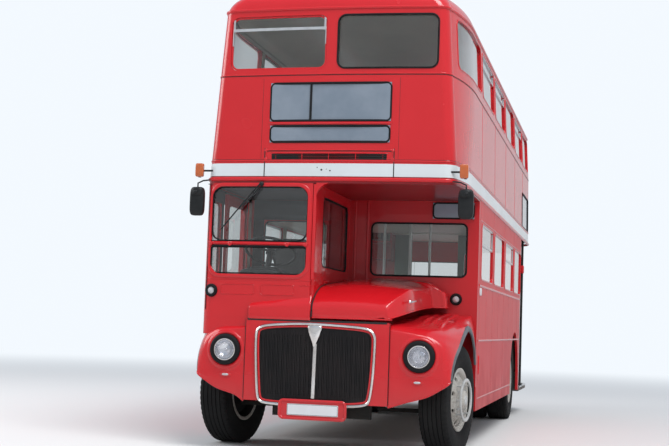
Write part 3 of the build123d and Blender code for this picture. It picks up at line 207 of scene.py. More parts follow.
def finish(name, colour, faded, roughness, spread, patch=1.2, speck=60.0, bump=0.05, dirt=0.0, dirt_top=0.9,
           coat=0.0, metal=0.0, grime=(0.05, 0.042, 0.035), gloss=0.5):
    """A material of the shared effect under one Principled shader."""
    material, tree = new_material(name)
    life = alive(tree, {
        "Colour": colour, "Faded": faded or tuple(c * 0.82 for c in colour), "Grime": grime, "Patch Size": patch,
        "Speck Size": speck, "Grime Top": dirt_top, "Grime Amount": dirt, "Roughness": roughness,
        "Spread": spread, "Bump": bump,
    })
    shader = wired(tree, "BsdfPrincipled", {
        "Base Color": life["Color"], "Roughness": life["Roughness"], "Normal": life["Normal"],
        "Metallic": metal, "Coat Weight": coat, "Coat Roughness": 0.03, "Specular IOR Level": gloss,
    })
    wired(tree, "OutputMaterial", {0: shader[0]})
    return material


def dress(material, *names):
    """Give nodes of the frame a better material."""
    for name in names:
        slots = node[name].data.materials
        slots.clear()
        slots.append(material)


sprayed = {"patch": 0.8, "speck": 2.2, "bump": 0.005}
red_paint = finish("coach_red", RED, (0.58, 0.012, 0.018), 0.22, 0.08, dirt=0.35, dirt_top=0.75, coat=0.45,
                   gloss=0.3, **sprayed)
lower_red = finish("coach_red_lower", RED, (0.57, 0.014, 0.020), 0.36, 0.10, dirt=0.45, dirt_top=0.9, coat=0.06,
                   gloss=0.2, **sprayed)
# A much darker copy of the red for the canopy and the vent slats: painted shade, for the shade under the canopy and
# inside the vent.
painted_shade_red = finish("painted_shade_red", (0.24, 0.004, 0.007), (0.20, 0.005, 0.008), 0.30, 0.10, coat=0.3, gloss=0.3,
                    **sprayed)
# A slightly darker, less glossy copy of the red for the bulkhead: painted shade, for the canopy's shadow over it.
bulkhead_painted_shade_red = finish("bulkhead_painted_shade_red", (0.50, 0.007, 0.012), (0.44, 0.009, 0.015), 0.28, 0.10, coat=0.3, gloss=0.3,
                      **sprayed)
white_paint = finish("band_white", (0.66, 0.71, 0.73), (0.60, 0.64, 0.65), 0.25, 0.12, 1.5, 3.0, 0.01, coat=0.6)
dress(red_paint, "wall_upper_front", "wall_upper_nearside", "wall_upper_offside", "wall_upper_rear", "exit_flap",
      "roof_panels", "roof_domes", "cab_shell", "front_cowl", "cab_door", "cab_inner_wall")
dress(lower_red, "wall_lower_nearside", "wall_lower_offside", "wall_rear_lower")
# The canopy and the bulkhead take the darker copies of the red: painted shade under the canopy.
dress(painted_shade_red, "canopy")
dress(bulkhead_painted_shade_red, "bulkhead_front")
dress(white_paint, "band_between_decks")

# Mouldings and panel joints. The real coach has half-round aluminium mouldings pinned over the
# joints of its panels, all painted with them, and thin butt joints covered by flat strips at each bay.
FRAME_ORIGIN_BACK = 4101
SEAM, SOFT_SEAM = 0.00005, 0.0001
AHEAD, ASTERN, NEARSIDE, UPWARD = (0, -1, 0), (0, 1, 0), (1, 0, 0), (0, 0, 1)
# Each row: height, half width, half width at the front corner, where full width starts, front and rear.
PLAN = np.array([
    (361, 1219, 1168, 700, 0, 8292), (2433, 1219, 1165, 700, 0, 8292), (3450, 1203, 1098, 1000, 0, 8292),
    (4045, 1172, 1058, 1000, 5, 8217), (4382, 1172, 1058, 1000, 5, 8217),
], float)
FRONT_CORNER, REAR_CORNER, FRONT_BOW, REAR_BOW, CHEEK_START = 110, 330, 40, 60, 150
REAR_AXLE, REAR_ARCH = 5901, 640
BAYS = [1612.0 + 1295.0 * bay for bay in range(5)]
# Each row: height, stand-out and height of the section, and where it starts and ends along the side.
MOULDINGS = [(2470, 16, 36), (2640, 6, 18), (3440, 6, 14), (4052, 13, 30), (1604, 9, 26, 1460, 6630),
             (1054, 7, 20, 1460, 6630), (480, 5, 14, 1460, 5300), (2262, 4, 10, 1460, 6630)]


def faces_of(rows, cols, round_rows, round_cols):
    """Four-sided faces between neighbouring points of a grid. A round direction joins its last line to
    its first."""
    i, j = np.meshgrid(np.arange(rows - 1 + round_rows), np.arange(cols - 1 + round_cols), indexing="ij")
    a, b = (i + 1) % rows, (j + 1) % cols
    return np.stack([i * cols + j, a * cols + j, a * cols + b, i * cols + b], -1).reshape(-1, 4)


def grid(points, round_rows=False, round_cols=False):
    """A surface over a grid of points: its points, its four-sided faces and its caps."""
    rows, cols = points.shape[:2]
    return points.reshape(-1, 3), faces_of(rows, cols, round_rows, round_cols), []


def unit(vectors):
    """The same directions at length one."""
    return vectors / np.linalg.norm(vectors, axis=-1, keepdims=True)


def carried(path, out, profile, closed=False):
    """A profile carried along a path. Its first number runs outwards, its second square to the path and
    to outwards; open ends get caps."""
    path, profile = np.asarray(path, float), np.asarray(profile, float)
    along = np.roll(path, -1, 0) - np.roll(path, 1, 0) if closed else np.gradient(path, axis=0)
    side = unit(np.cross(along, np.broadcast_to(np.asarray(out, float), path.shape)))
    out = unit(np.cross(side, along))
    points = path[:, None] + profile[None, :, :1] * out[:, None] + profile[None, :, 1:] * side[:, None]
    n, m = points.shape[:2]
    caps = [] if closed else [list(range(m)), list(range((n - 1) * m, n * m))]
    return points.reshape(-1, 3), faces_of(n, m, closed, True), caps


def turned(profile, centre, axis, count=48):
    """A profile of (distance along the axis, radius) turned once round it."""
    profile = np.asarray(profile, float)
    axis = unit(np.asarray(axis, float))
    first = unit(np.cross(axis, (0, 0, 1.0) if abs(axis[2]) < 0.9 else (1.0, 0, 0)))
    second = np.cross(axis, first)
    angle = np.linspace(0, 2 * pi, count, endpoint=False)[:, None, None]
    points = (np.asarray(centre, float) + profile[None, :, :1] * axis
              + profile[None, :, 1:] * (np.cos(angle) * first + np.sin(angle) * second))
    return grid(points, round_rows=True)


def metres(points):
    """Millimetres behind the front panel, as metres from the frame's origin."""
    return (points - (0, FRAME_ORIGIN_BACK, 0)) / 1000


def meshed(name, points, faces, gap=SEAM, both_ways=False):
    """A mesh whose seams closer than a gap are merged, and whose faces are turned outwards."""
    mesh = bpy.data.meshes.new(name)
    mesh.from_pydata(points.tolist(), [], faces)
    work = bmesh.new()
    work.from_mesh(mesh)
    bmesh.ops.remove_doubles(work, verts=work.verts, dist=gap)
    if not both_ways:
        bmesh.ops.recalc_face_normals(work, faces=work.faces)
    work.to_mesh(mesh)
    work.free()
    return mesh


def put(name, parts, material, body="coach", sharp=35.0, both_ways=False):
    """Join surfaces into one mesh, smooth but for its sharp edges, and let it ride on a body. A single
    sheet, which has two faces to show, keeps them both ways as they are."""
    points, faces, base = [], [], 0
    for verts, quads, caps in parts:
        points.append(verts)
        faces.extend((quads + base).tolist())
        faces.extend([[i + base for i in cap] for cap in caps])
        base += len(verts)
    mesh = meshed(name, metres(np.concatenate(points)), faces, both_ways=both_ways)
    mesh.polygons.foreach_set("use_smooth", np.ones(len(mesh.polygons), bool))
    mesh.set_sharp_from_angle(angle=radians(sharp))
    mesh.materials.append(material)
    piece = placed(name, mesh)
    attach(piece, body)
    return piece


def plan_row(z):
    """The columns of the plan at heights z, straight between the measured levels."""
    return [np.interp(z, PLAN[:, 0], PLAN[:, k]) for k in range(1, 6)]


def arc_fall(at, reach, fall):
    """How far a circle's arc has dropped at a distance from its top, when it drops by fall at reach:
    radius - root of (radius squared - distance squared), with radius (reach squared + fall squared) / 2 fall."""
    radius = (reach**2 + fall**2) / (2 * fall)
    return radius - np.sqrt(radius**2 - at**2)


def side_x(y, z):
    """The body side's half width: full behind the cheek, and one arc from there in to the front corner."""
    half, nose, full, front, _ = plan_row(z)
    back = full - front - CHEEK_START
    return half - arc_fall(np.clip(full - y, 0, back), back, half - nose)


def front_y(x, z):
    """The front panel's place: an arc that falls back from the middle to the corners."""
    _, nose, _, front, _ = plan_row(z)
    return front + arc_fall(x, nose - FRONT_CORNER, FRONT_BOW)


def rear_y(x, z):
    """The rear panel's place: an arc that falls forward from the middle to the corners."""
    half, _, _, _, rear = plan_row(z)
    return rear - arc_fall(x, half - REAR_CORNER, REAR_BOW)


def body_line(z):
    """The body's outline at a height, from the middle of the front round the nearside to the middle of
    the rear, and its outward directions."""
    half, nose, full, front, rear = plan_row(z)
    turn = np.linspace(0, pi / 2, 13)
    flat, start, tail = nose - FRONT_CORNER, front + CHEEK_START, rear - REAR_BOW - REAR_CORNER
    x = np.linspace(0, flat, 16)
    y = np.linspace(start, full, 16)
    y_back = np.linspace(full, tail, 60)
    x_back = np.linspace(half - REAR_CORNER, 0, 16)
    line = np.concatenate([
        np.stack([x, front_y(x, z)], 1),
        np.stack([flat + FRONT_CORNER * np.sin(turn), start - FRONT_CORNER * np.cos(turn)], 1)[1:],
        np.stack([side_x(y, z), y], 1)[1:],
        np.stack([half + 0 * y_back, y_back], 1)[1:],
        np.stack([half - REAR_CORNER + REAR_CORNER * np.cos(turn), tail + REAR_CORNER * np.sin(turn)], 1)[1:],
        np.stack([x_back, rear_y(x_back, z)], 1)[1:],
    ])
    along = np.gradient(line, axis=0)
    out = unit(np.stack([along[:, 1], -along[:, 0], 0 * along[:, 0]], 1))
    return np.column_stack([line, np.full(len(line), z)]), out


def moulding(z, profile, y0=-1e4, y1=1e4):
    """A moulding round the body at a height, between two distances back, on both sides."""
    line, out = body_line(z)
    keep = (line[:, 1] >= y0) & (line[:, 1] <= y1)
    return [carried(line[keep] * (side, 1, 1), out[keep] * (side, 1, 1), profile) for side in (1, -1)]


def half_round(proud, high):
    """A half-round section that stands out by one size and is as high as the other."""
    turn = np.linspace(-pi / 2, pi / 2, 7)
    curve = np.stack([proud * np.cos(turn), high / 2 * np.sin(turn)], 1)
    return np.concatenate([[(-4, -high / 2)], curve, [(-4, high / 2)]])


def flat_bar(half, proud, sunk=-2.0):
    """A flat-faced section: as high as twice the half, from a depth in the panel out to its face."""
    return [(sunk, -half), (proud, -half), (proud, half), (sunk, half)]


def joint_strip(side, y, z0, z1, wide=14.0, proud=1.6):
    """An upright strip on the body side over a panel joint, with its long edges taken off."""
    z = np.linspace(z0, z1, 12)
    path = np.stack([side * side_x(y, z), y + 0 * z, z], 1)
    section = [(-2, -wide / 2), (proud, -wide / 2 + 1.5), (proud, wide / 2 - 1.5), (-2, wide / 2)]
    return carried(path, (side, 0, 0), section)


rails = []
for z, proud, high, *span in MOULDINGS:
    rails += moulding(z, half_round(proud, high), *span)
for side in (1, -1):
    for y in BAYS:
        rails.append(joint_strip(side, y, 2650, 3430))
        if y < 6700:
            rails += [joint_strip(side, y, 2280, 2450), joint_strip(side, y, 1060, 1592)]
            if abs(y - REAR_AXLE) > REAR_ARCH:
                rails.append(joint_strip(side, y, 380, 1045))
        if y < 6600:
            rails.append(joint_strip(side, y + 647, 1060, 1592))
put("body_mouldings", rails, red_paint)

# Saloon windows. Each pane of toughened glass sits in the wall's cut-out, in a rubber channel at the nearside front
# and the rear and in a red pan elsewhere; some side windows and the offside front one wind down in polished aluminium
# frames with a bar across.
rubber = finish("black_rubber", (0.008, 0.008, 0.009), (0.014, 0.014, 0.015), 0.55, 0.2, 6.0, 120.0, 0.08, gloss=0.15)
bright = finish("polished_aluminium", (0.72, 0.73, 0.74), (0.60, 0.61, 0.62), 0.22, 0.18, 8.0, 150.0, 0.03, metal=1.0)
LIP = [(-16, 4), (-16, -5), (2, -6), (5, -3), (5, 3), (2, 6)]
WIDE_LIP = [(-14, 5), (-14, -6), (3, -9), (8, -5), (8, 5), (3, 9)]
# Where each side window starts and ends, and which of them wind down, counted from the front.
UPPER = [(290, 1552)] + [(1672 + 1295 * bay, 2847 + 1295 * bay) for bay in range(4)] + [(6852, 7820)]
LOWER = [(1692, 2827), (2987, 4122), (4282, 5417), (5577, 6610)]
UPPER_WINDERS, LOWER_WINDERS = (1, 2, 4), (0, 2)


def clear_glass(name, tint, roughness=0.02):
    """Glass that lets the lamps' light through: a tinted Principled glass, clear to shadow rays."""
    material, tree = new_material(name)
    glass = wired(tree, "BsdfPrincipled", {
        "Base Color": (*tint, 1), "Roughness": roughness, "IOR": 1.12, "Transmission Weight": 1.0,
        "Coat Weight": 1.0, "Coat Roughness": 0.01,
    })
    through = wired(tree, "BsdfTransparent", {"Color": (*tint, 1)})
    shadow = wired(tree, "LightPath")["Is Shadow Ray"]
    both = wired(tree, "MixShader", {0: shadow, 1: glass[0], 2: through[0]})
    wired(tree, "OutputMaterial", {0: both[0]})
    return material


def window_line(a0, a1, b0, b1, r, gap=45.0):
    """Points once round an opening with rounded corners, no further apart than a gap, in the two
    directions of its wall."""
    turn = np.linspace(0, pi / 2, 9)
    corners = ((a1 - r, b0 + r, -pi / 2), (a1 - r, b1 - r, 0), (a0 + r, b1 - r, pi / 2), (a0 + r, b0 + r, pi))
    line = np.concatenate([np.stack([a + r * np.cos(s + turn), b + r * np.sin(s + turn)], 1) for a, b, s in corners])
    after = np.roll(line, -1, 0)
    steps = np.ceil(np.linalg.norm(after - line, axis=1) / gap).clip(1).astype(int)
    return np.concatenate([p + (q - p) * np.arange(n)[:, None] / n for p, q, n in zip(line, after, steps)])


def level(start, end, height, count):
    """A flat line at one height, in even steps from one end to the other."""
    return np.column_stack([np.linspace(start, end, count), np.full(count, float(height))])


def plumb(at, low, high, count):
    """A flat line straight up at one place, in even steps from its foot to its top."""
    return np.column_stack([np.full(count, float(at)), np.linspace(low, high, count)])


def upright_line(line, y):
    """A flat line of (sideways, height) stood up at a distance back."""
    return np.stack([line[:, 0], y + 0 * line[:, 0], line[:, 1]], 1)


def front_strip(line, profile, inward=0.0, closed=False):
    """A profile carried along a line of (sideways, height) on the front panel, at a depth behind it."""
    return carried(upright_line(line, front_y(*line.T) + inward), AHEAD, profile, closed)


def rear_strip(line, profile, closed=False):
    """A profile carried along a line of (sideways, height) on the rear panel."""
    return carried(upright_line(line, rear_y(*line.T)), ASTERN, profile, closed)


def side_strip(line, profile, side=1, inward=0.0, closed=False):
    """A profile carried along a line of (distance back, height) on the body side, at a depth behind it."""
    path = np.column_stack([side * (side_x(*line.T) - inward), line])
    return carried(path, (side, 0, 0), profile, closed)


window_glass = clear_glass("window_glass", (0.90, 0.93, 0.93))
dress(window_glass, "glass_lower", "glass_upper", "glass_cab", "cab_door_glass", "exit_glass")
pans, winders = [], []
for side in (1, -1):
    for place, (y0, y1) in enumerate(UPPER):
        pans.append(side_strip(window_line(y0 + 5, y1 - 5, 3535, 4000, 66), LIP, side, closed=True))
        if place in UPPER_WINDERS:
            winders.append((side, y0, y1, 3870, 3990, 4000))
    for place, (y0, y1) in enumerate(LOWER):
        pans.append(side_strip(window_line(y0 + 5, y1 - 5, 1670, 2237, 66), LIP, side, closed=True))
        if place in LOWER_WINDERS:
            winders.append((side, y0, y1, 2025, 2226, 2230))
pans.append(front_strip(window_line(-968, -60, 3496, 3980, 70), flat_bar(8, 4, -8), 14, True))
seals = [front_strip(window_line(55, 973, 3491, 3985, 72), WIDE_LIP, closed=True),
         rear_strip(window_line(-820, 180, 1645, 2195, 76), WIDE_LIP, True)]
put("saloon_window_rubbers", seals, rubber)
put("side_window_pans", pans, red_paint)
bars = []
for side, y0, y1, bar, head, top in winders:
    bars += [side_strip(level(y0 + 22, y1 - 22, z, 6), flat_bar(11, 5, -8), side, 8) for z in (bar, head)]
    bars += [side_strip(plumb(y, bar, top, 4), flat_bar(7, 5, -8), side, 8) for y in (y0 + 16, y1 - 16)]
bars.append(front_strip(level(-966, -62, 3868, 12), flat_bar(13, 6, -8), 12))
for x, z0, z1, half in ((-955, 3850, 3968, 9), (-74, 3850, 3968, 9), (-963, 3720, 3850, 4), (-66, 3720, 3850, 4)):
    bars.append(front_strip(plumb(x, z0, z1, 5), flat_bar(half, 6, -8), 11))
put("winding_window_frames", bars, bright)

# Destination displays and vent. Blank blinds stand behind dark glass in black rubber, in two rows
# over a pressed air vent with a hinged surround; one more looks out over the bulkhead window.
# The blinds' blue-grey is the blank blind's own colour lifted by painted reflection of the pale sky in the display
# glass.
display_blind_and_painted_reflection = finish("blind_and_painted_sky_reflection", (0.15, 0.19, 0.24), (0.20, 0.24, 0.29), 0.18, 0.12, 3.0, 60.0, 0.02, coat=1.0)
# Near black: the colour of dark joints and seams, and painted shade where it fills the vent and the filler slot.
dark = finish("joint_black_and_painted_shade", (0.012, 0.010, 0.010), None, 0.7, 0.1, 4.0)
dress(display_blind_and_painted_reflection, "display_boxes")
# The vent grille goes near black: painted shade for the hollow behind the vent's slats.
dress(dark, "vent_grille")
BULKHEAD_FACE = 1448
DISPLAY_LIP = [(-10, 6), (-10, -10), (3, -12), (7, -6), (7, 6), (3, 10)]
ROUTE_BOX_LIP = [(-4, 8), (-4, -8), (5, -8), (8, 0), (5, 8)]
seals = [front_strip(window_line(-561, 561, 3006, 3354, 40), DISPLAY_LIP, closed=True),
         front_strip(window_line(-556, 556, 2811, 2959, 40), DISPLAY_LIP, closed=True),
         carried(upright_line(plumb(-182, 3006, 3354, 4), 3), AHEAD, [(-4, -11), (6, -9), (6, 9), (-4, 11)]),
         carried(upright_line(window_line(757, 1164, 2259, 2412, 40), 1434), AHEAD, ROUTE_BOX_LIP, True),
         carried(upright_line(window_line(132, 1100, 1676, 2206, 56), BULKHEAD_FACE), AHEAD, WIDE_LIP, True),
         carried(upright_line(window_line(-996, -334, 1676, 2206, 56), BULKHEAD_FACE), AHEAD, LIP, True)]
put("display_and_bulkhead_rubbers", seals, rubber)

HINGE_PIN = [(-2, 0), (9, 0), (9, 10), (6, 14), (-2, 14)]
trim = [front_strip(level(-575, 575, 2985, 24), half_round(8, 26)),
        front_strip(level(-590, 590, 2738, 24), half_round(6, 12)),
        front_strip(window_line(-541, 541, 2633, 2709, 10), half_round(4, 9), 1, True)]
for x in (592, -592):
    trim.append(front_strip(plumb(x, 2632, 2742, 3), half_round(6, 12)))
    trim += [turned(HINGE_PIN, (x, float(front_y(x, z)), z), AHEAD, 12) for z in (2655, 2735)]
trim += [front_strip(plumb(x, 2636, 2708, 3), half_round(5, 7), 7) for x in np.linspace(-500, 500, 5)]
put("vent_surround", trim, red_paint)
# The bulkhead's mouldings share its darker red of painted shade.
uprights = [upright_line(plumb(x, 1500, 2428, 8), BULKHEAD_FACE - 1) for x in (-164, -41, 88)]
put("bulkhead_mouldings", [carried(path, AHEAD, half_round(9, 24)) for path in uprights], bulkhead_painted_shade_red)

# Canopy fillet: a curved red panel rounds the corner where the cab's front meets the canopy, from the
# cab's face back into the canopy.
CORNER_AT, FILLET_RADIUS = (-102.0, 2438.0), 140
turn = np.linspace(0, pi / 2, 17)
bend = np.array([CORNER_AT]) + FILLET_RADIUS * np.stack([1 - np.cos(turn), np.sin(turn) - 1], 1)
corner = np.array([CORNER_AT]) + 0 * bend
fillet = [upright_line(line, y) for line, y in ((corner, -1.5), (bend, -1.5), (bend, 40.0), (corner, 40.0))]
put("canopy_corner_fillet", [grid(np.stack(fillet, 1), round_cols=True)], red_paint)

# Vent slats and joints of the front panels: four slats in the vent, in a darker red that is painted shade; fine dark
# lines where the removable panel round the displays and the corner panels meet; painted shadow lines along the
# mouldings and beside the strips at each bay; and the empty holes of a fitting in the band.
# The slats take the darker red: painted shade inside the vent.
slats_of_vent = [front_strip(level(-537, 537, z, 20), flat_bar(1.6, 2, -3), 9) for z in (2650, 2664, 2678, 2692)]
put("vent_slats", slats_of_vent, painted_shade_red)
# The dark lines just under the moulding at 3440 and just over the one at 2640 are painted shadow lines: the mouldings
# cover the joints themselves.
lines = moulding(3429, flat_bar(3, 1.2)) + moulding(2650.5, flat_bar(2, 1.2))
lines += [front_strip(plumb(x, 2494, 2752, 8), flat_bar(4.5, 1.2)) for x in (-603, 603)]
lines += [front_strip(plumb(x, 2650, 3400, 10), flat_bar(1.2, 0.6)) for x in (-640, 640)]
# A painted shadow line under the vent's top moulding.
lines.append(front_strip(level(-584, 584, 2728, 24), flat_bar(3.5, 1.2)))
for side in (1, -1):
    # Painted shadow lines beside each bay's joint strip, along its rear edge.
    lines += [joint_strip(side, y + 10, 2650, 3430, 6.0, 0.8) for y in BAYS]
    lines += [joint_strip(side, y + 10, 1064, 1590, 6.0, 0.8) for y in BAYS if y < 6600]
for x, z, r in ((-60, 2556, 9), (-100, 2578, 5), (20, 2549, 7), (-15, 2562, 4)):
    lines.append(turned([(-2, 0), (0.8, 0), (0.8, r), (-2, r)], (x, float(front_y(x, z)), z), AHEAD, 14))
# One piece for the dark joints and the painted shadow lines.
put("panel_joints", lines, dark)

# Driver's cab outside. The windscreen is in two steel-framed panes round a red bar, the upper one
# hinged at lugs on the bar; under it are two pressed access flaps, and a lamp at the corner.
SCREEN_FRAME = [(-6, 16), (-6, -20), (6, -18), (11, -4), (9, 8), (4, 16)]
SCREEN_BAR = [(-4, -14), (8, -13), (16, -6), (16, 6), (8, 13), (-4, 14)]
SCREEN_LUG = [(-2, 0), (22, 0), (24, 14), (20, 20), (-2, 20)]
PILLAR_EDGE = [(-3, -14), (6, -10), (8, 0), (6, 10), (-3, 14)]


def nose_line(line, inward=0.0):
    """A line of (sideways, height) laid on the front of the cab, round its corner as well."""
    wide = np.abs(line[:, 0])
    flat = plan_row(line[:, 1])[1] - FRONT_CORNER
    over = np.clip(wide - flat, 0, FRONT_CORNER - 0.1)
    front = front_y(np.minimum(wide, flat), line[:, 1])
    return upright_line(line, front + FRONT_CORNER - np.sqrt(FRONT_CORNER**2 - over**2) + inward)


def nose_out(points):
    """Outward directions along a line on the cab's front: ahead, turning aside in the corner."""
    flat = plan_row(points[:, 2])[1] - FRONT_CORNER
    lean = np.clip(np.abs(points[:, 0]) - flat, 0, FRONT_CORNER - 1) / FRONT_CORNER
    return np.stack([np.sign(points[:, 0]) * lean, -np.sqrt(1 - lean**2), 0 * lean], 1)


def nose_strip(line, profile, closed=False):
    """A profile carried along a line on the cab's front."""
    path = nose_line(line)
    return carried(path, nose_out(path), profile, closed)


def nose_spot(x, z):
    """A place on the cab's front, and its outward direction."""
    spots = nose_line(np.array([[x, z]], float))
    return spots[0], nose_out(spots)[0]


cab_trim = [nose_strip(window_line(-1112, -156, 1576, 2419, 118), SCREEN_FRAME, True),
            nose_strip(level(-1118, -150, 1878, 26), SCREEN_BAR),
            nose_strip(window_line(-980, -652, 1412, 1504, 26), half_round(5, 9), True),
            nose_strip(window_line(-597, -276, 1412, 1504, 26), half_round(5, 9), True),
            nose_strip(level(-224, -110, 1504, 6), half_round(5, 9)),
            nose_strip(level(-1140, -120, 1548, 30), half_round(4, 10)),
            carried(upright_line(plumb(-112, 1560, 2425, 10), 1), AHEAD, PILLAR_EDGE)]
cab_trim += [turned(SCREEN_LUG, *nose_spot(x, 1871), count=14) for x in (-1090, -905, -355, -180)]
put("cab_front_trim", cab_trim, red_paint)
inner_window = window_line(304, 1326, 1694, 2336, 56)
seals = [nose_strip(window_line(-1094, -174, z0, z1, r), [(-14, 5), (-14, -6), (4, -6), (4, 5)], True)
         for z0, z1, r in ((1602, 1842, 24), (1902, 2396, 96))]
seals.append(carried(np.column_stack([np.full(len(inner_window), -101.0), inner_window]), NEARSIDE, LIP, True))
seals.append(side_strip(window_line(219, 576, 1608, 2286, 56), LIP, -1, closed=True))
# Two black strips along the bar between the panes, a wider one under it and a thin one over it: painted shadow lines
# along the bar's edges.
seals += [nose_strip(level(-1090, -178, z, 24), flat_bar(half, 9)) for z, half in ((1852, 7), (1896, 3))]
put("cab_window_rubbers_and_painted_shadow_lines", seals, rubber)

# Cab and bulkhead side lamps: small round lenses of ribbed plastic in black rubber rings, one on the
# cab's front and one beside the bulkhead window.
LAMP_RING = [(-4, 60), (8, 60), (22, 52), (24, 42), (18, 34), (4, 34), (-4, 36), (-4, 60)]
LAMP_LENS = [(4, 35), (12, 33), (20, 22), (23, 8), (23, 0)]


def lens_material(name, colour):
    """A moulded lens: coloured clear plastic, with fine ribs from a wave pattern."""
    material, tree = new_material(name)
    place = wired(tree, "TexCoord")["Object"]
    wave = wired(tree, "TexWave", {"Vector": place, "Scale": 60.0}, bands_direction="X")[1]
    ribs = wired(tree, "Bump", {"Strength": 0.3, "Distance": 0.004, "Height": wave})
    shader = wired(tree, "BsdfPrincipled", {
        "Base Color": blended(tree, wave, (*colour, 1), (*[c * 0.6 for c in colour], 1)), "Roughness": 0.12,
        "Coat Weight": 1.0, "Coat Roughness": 0.02, "Normal": ribs[0],
    })
    wired(tree, "OutputMaterial", {0: shader[0]})
    return material


amber = lens_material("amber_lens", (0.62, 0.12, 0.012))
clear_lens = lens_material("clear_lens", (0.62, 0.60, 0.62))
red_lens = lens_material("red_lens", (0.50, 0.01, 0.01))
lamp_spots = [nose_spot(-1072, 1438), ((1006.0, BULKHEAD_FACE, 1454.0), AHEAD)]
put("side_lamp_rings", [turned(LAMP_RING, spot, out, 40) for spot, out in lamp_spots], rubber)
put("side_lamp_lenses", [turned(LAMP_LENS, spot, out, 32) for spot, out in lamp_spots], clear_lens)

# Wiper, mirrors and indicators. Black arms carry a long wiper on the offside pane, a boxy driving
# mirror at each front corner, and a square amber indicator above it.
black_arm = finish("black_enamel", (0.008, 0.009, 0.010), (0.016, 0.017, 0.018), 0.35, 0.25, 8.0, 80.0, 0.04,
                   coat=0.1, gloss=0.2)
ARM = 9 * np.array([(cos(t), sin(t)) for t in np.linspace(0, 2 * pi, 11)[:-1]])
WIPER_BLADE = [(-6, -3), (7, -6), (10, 0), (7, 6), (-6, 3)]


def rounded_block(centre, size, power, rows=24, cols=40):
    """A box with soft corners: a ball whose directions are raised to a power, so that its sides go flat."""
    rise, turn = np.meshgrid(np.linspace(-pi / 2, pi / 2, rows), np.linspace(0, 2 * pi, cols + 1)[:-1], indexing="ij")
    ray = np.stack([np.cos(rise) * np.cos(turn), np.cos(rise) * np.sin(turn), np.sin(rise)], -1)
    reach = (np.abs(ray) ** power).sum(-1, keepdims=True) ** (-1 / power)
    return grid(np.asarray(centre, float) + ray * reach * np.asarray(size, float) / 2, round_cols=True)


wiper = [carried([(-628, -14, 2424), (-700, -24, 2335), (-826, -26, 2185)], AHEAD, ARM * 0.75),
         carried([(-606, -12, 2420), (-690, -22, 2318), (-790, -25, 2200)], AHEAD, ARM * 0.5),
         carried([(-726, -16, 2310), (-860, -17, 2148), (-985, -14, 1998)], AHEAD, WIPER_BLADE),
         turned([(0, 0), (24, 0), (28, 10), (18, 20), (0, 22)], (-618, 6, 2422), AHEAD, 18)]
put("wiper", wiper, black_arm)
mirror, mirror_faces, bases, ambers = [], [], [], []
for side in (1, -1):
    arm = np.array([(1100, 60, 2467), (1205, 60, 2455), (1254, 60, 2432), (1254, 60, 2380)]) * (side, 1, 1)
    mirror += [rounded_block((side * 1254, 62, 2262), (138, 66, 268), 5.0),
               rounded_block((side * 1250, 50, 2352), (112, 74, 84), 3.0, 14, 28),
               rounded_block((side * 1262, 22, 2346), (40, 36, 40), 2.5, 12, 20), carried(arm, AHEAD, ARM * 0.8)]
    mirror_faces.append(rounded_block((side * 1254, 92, 2250), (118, 8, 226), 6.0))
    bases.append(rounded_block((side * 1243, 60, 2550), (30, 70, 128), 6.0))
    bases.append(carried([(side * 1085, 70, 2550), (side * 1245, 70, 2550)], AHEAD, ARM))
    ambers.append(rounded_block((side * 1235, 40, 2552), (78, 44, 126), 7.0))
heads = put("mirror_heads_and_arms", mirror, black_arm)
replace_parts(heads, "mirrors_and_wiper")
put("mirror_glasses", mirror_faces, bright)
put("indicator_bases", bases, black_arm)
indicators = put("indicator_lenses", ambers, amber)
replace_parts(indicators, "indicators")

# Bonnet. Two pressed shells with a rolled front lip meet along a black-edged joint: the lid on the
# nearside, with its handle and a small rear side panel, and a short fixed side against the cab.
LID_EDGE = -92.0
# Each row of the lid: distance back, then the height at the joint, over the crown and at the crease,
# the crease's and the foot's places across, and the foot's height.
LID = np.array([
    (-34, 1222, 1222, 1222, 578, 598, 1220), (-36, 1262, 1264, 1258, 582, 606, 1224),
    (-33, 1312, 1316, 1296, 586, 616, 1230), (-12, 1350, 1358, 1334, 600, 634, 1236),
    (50, 1400, 1410, 1386, 648, 682, 1256), (150, 1456, 1470, 1450, 712, 738, 1284),
    (290, 1505, 1528, 1494, 752, 772, 1306), (520, 1535, 1566, 1504, 768, 790, 1326),
    (820, 1562, 1594, 1518, 782, 806, 1346), (1080, 1580, 1618, 1534, 792, 822, 1357),
    (1136, 1583, 1623, 1534, 796, 828, 1360), (1158, 1585, 1626, 1522, 852, 892, 1362),
    (1180, 1587, 1629, 1508, 922, 948, 1363), (1300, 1595, 1640, 1512, 926, 950, 1367),
    (1441, 1603, 1648, 1514, 914, 936, 1372),
], float)
# Each row of the fixed side: distance back, then the height at the outer end and at the joint.
FIXED = [(-38, 1191, 1191), (-41, 1205, 1206), (-42, 1232, 1236), (-41, 1280, 1298), (-37, 1300, 1330),
         (-27, 1312, 1352), (-10, 1322, 1382), (8, 1329, 1410), (20, 1333, 1424)]
# Each column of the fixed side: its place across, how far its end turns back, and how far it drops.
FIXED_ACROSS = np.array([(-693, 40, 10), (-692, 22, 8), (-686, 9, 4), (-672, 2, 1), (-640, 0, 0), (-520, 0, 0),
                         (-400, 0, 0), (-260, 0, 0), (-180, 0, 0), (-106, 0, 0)], float)


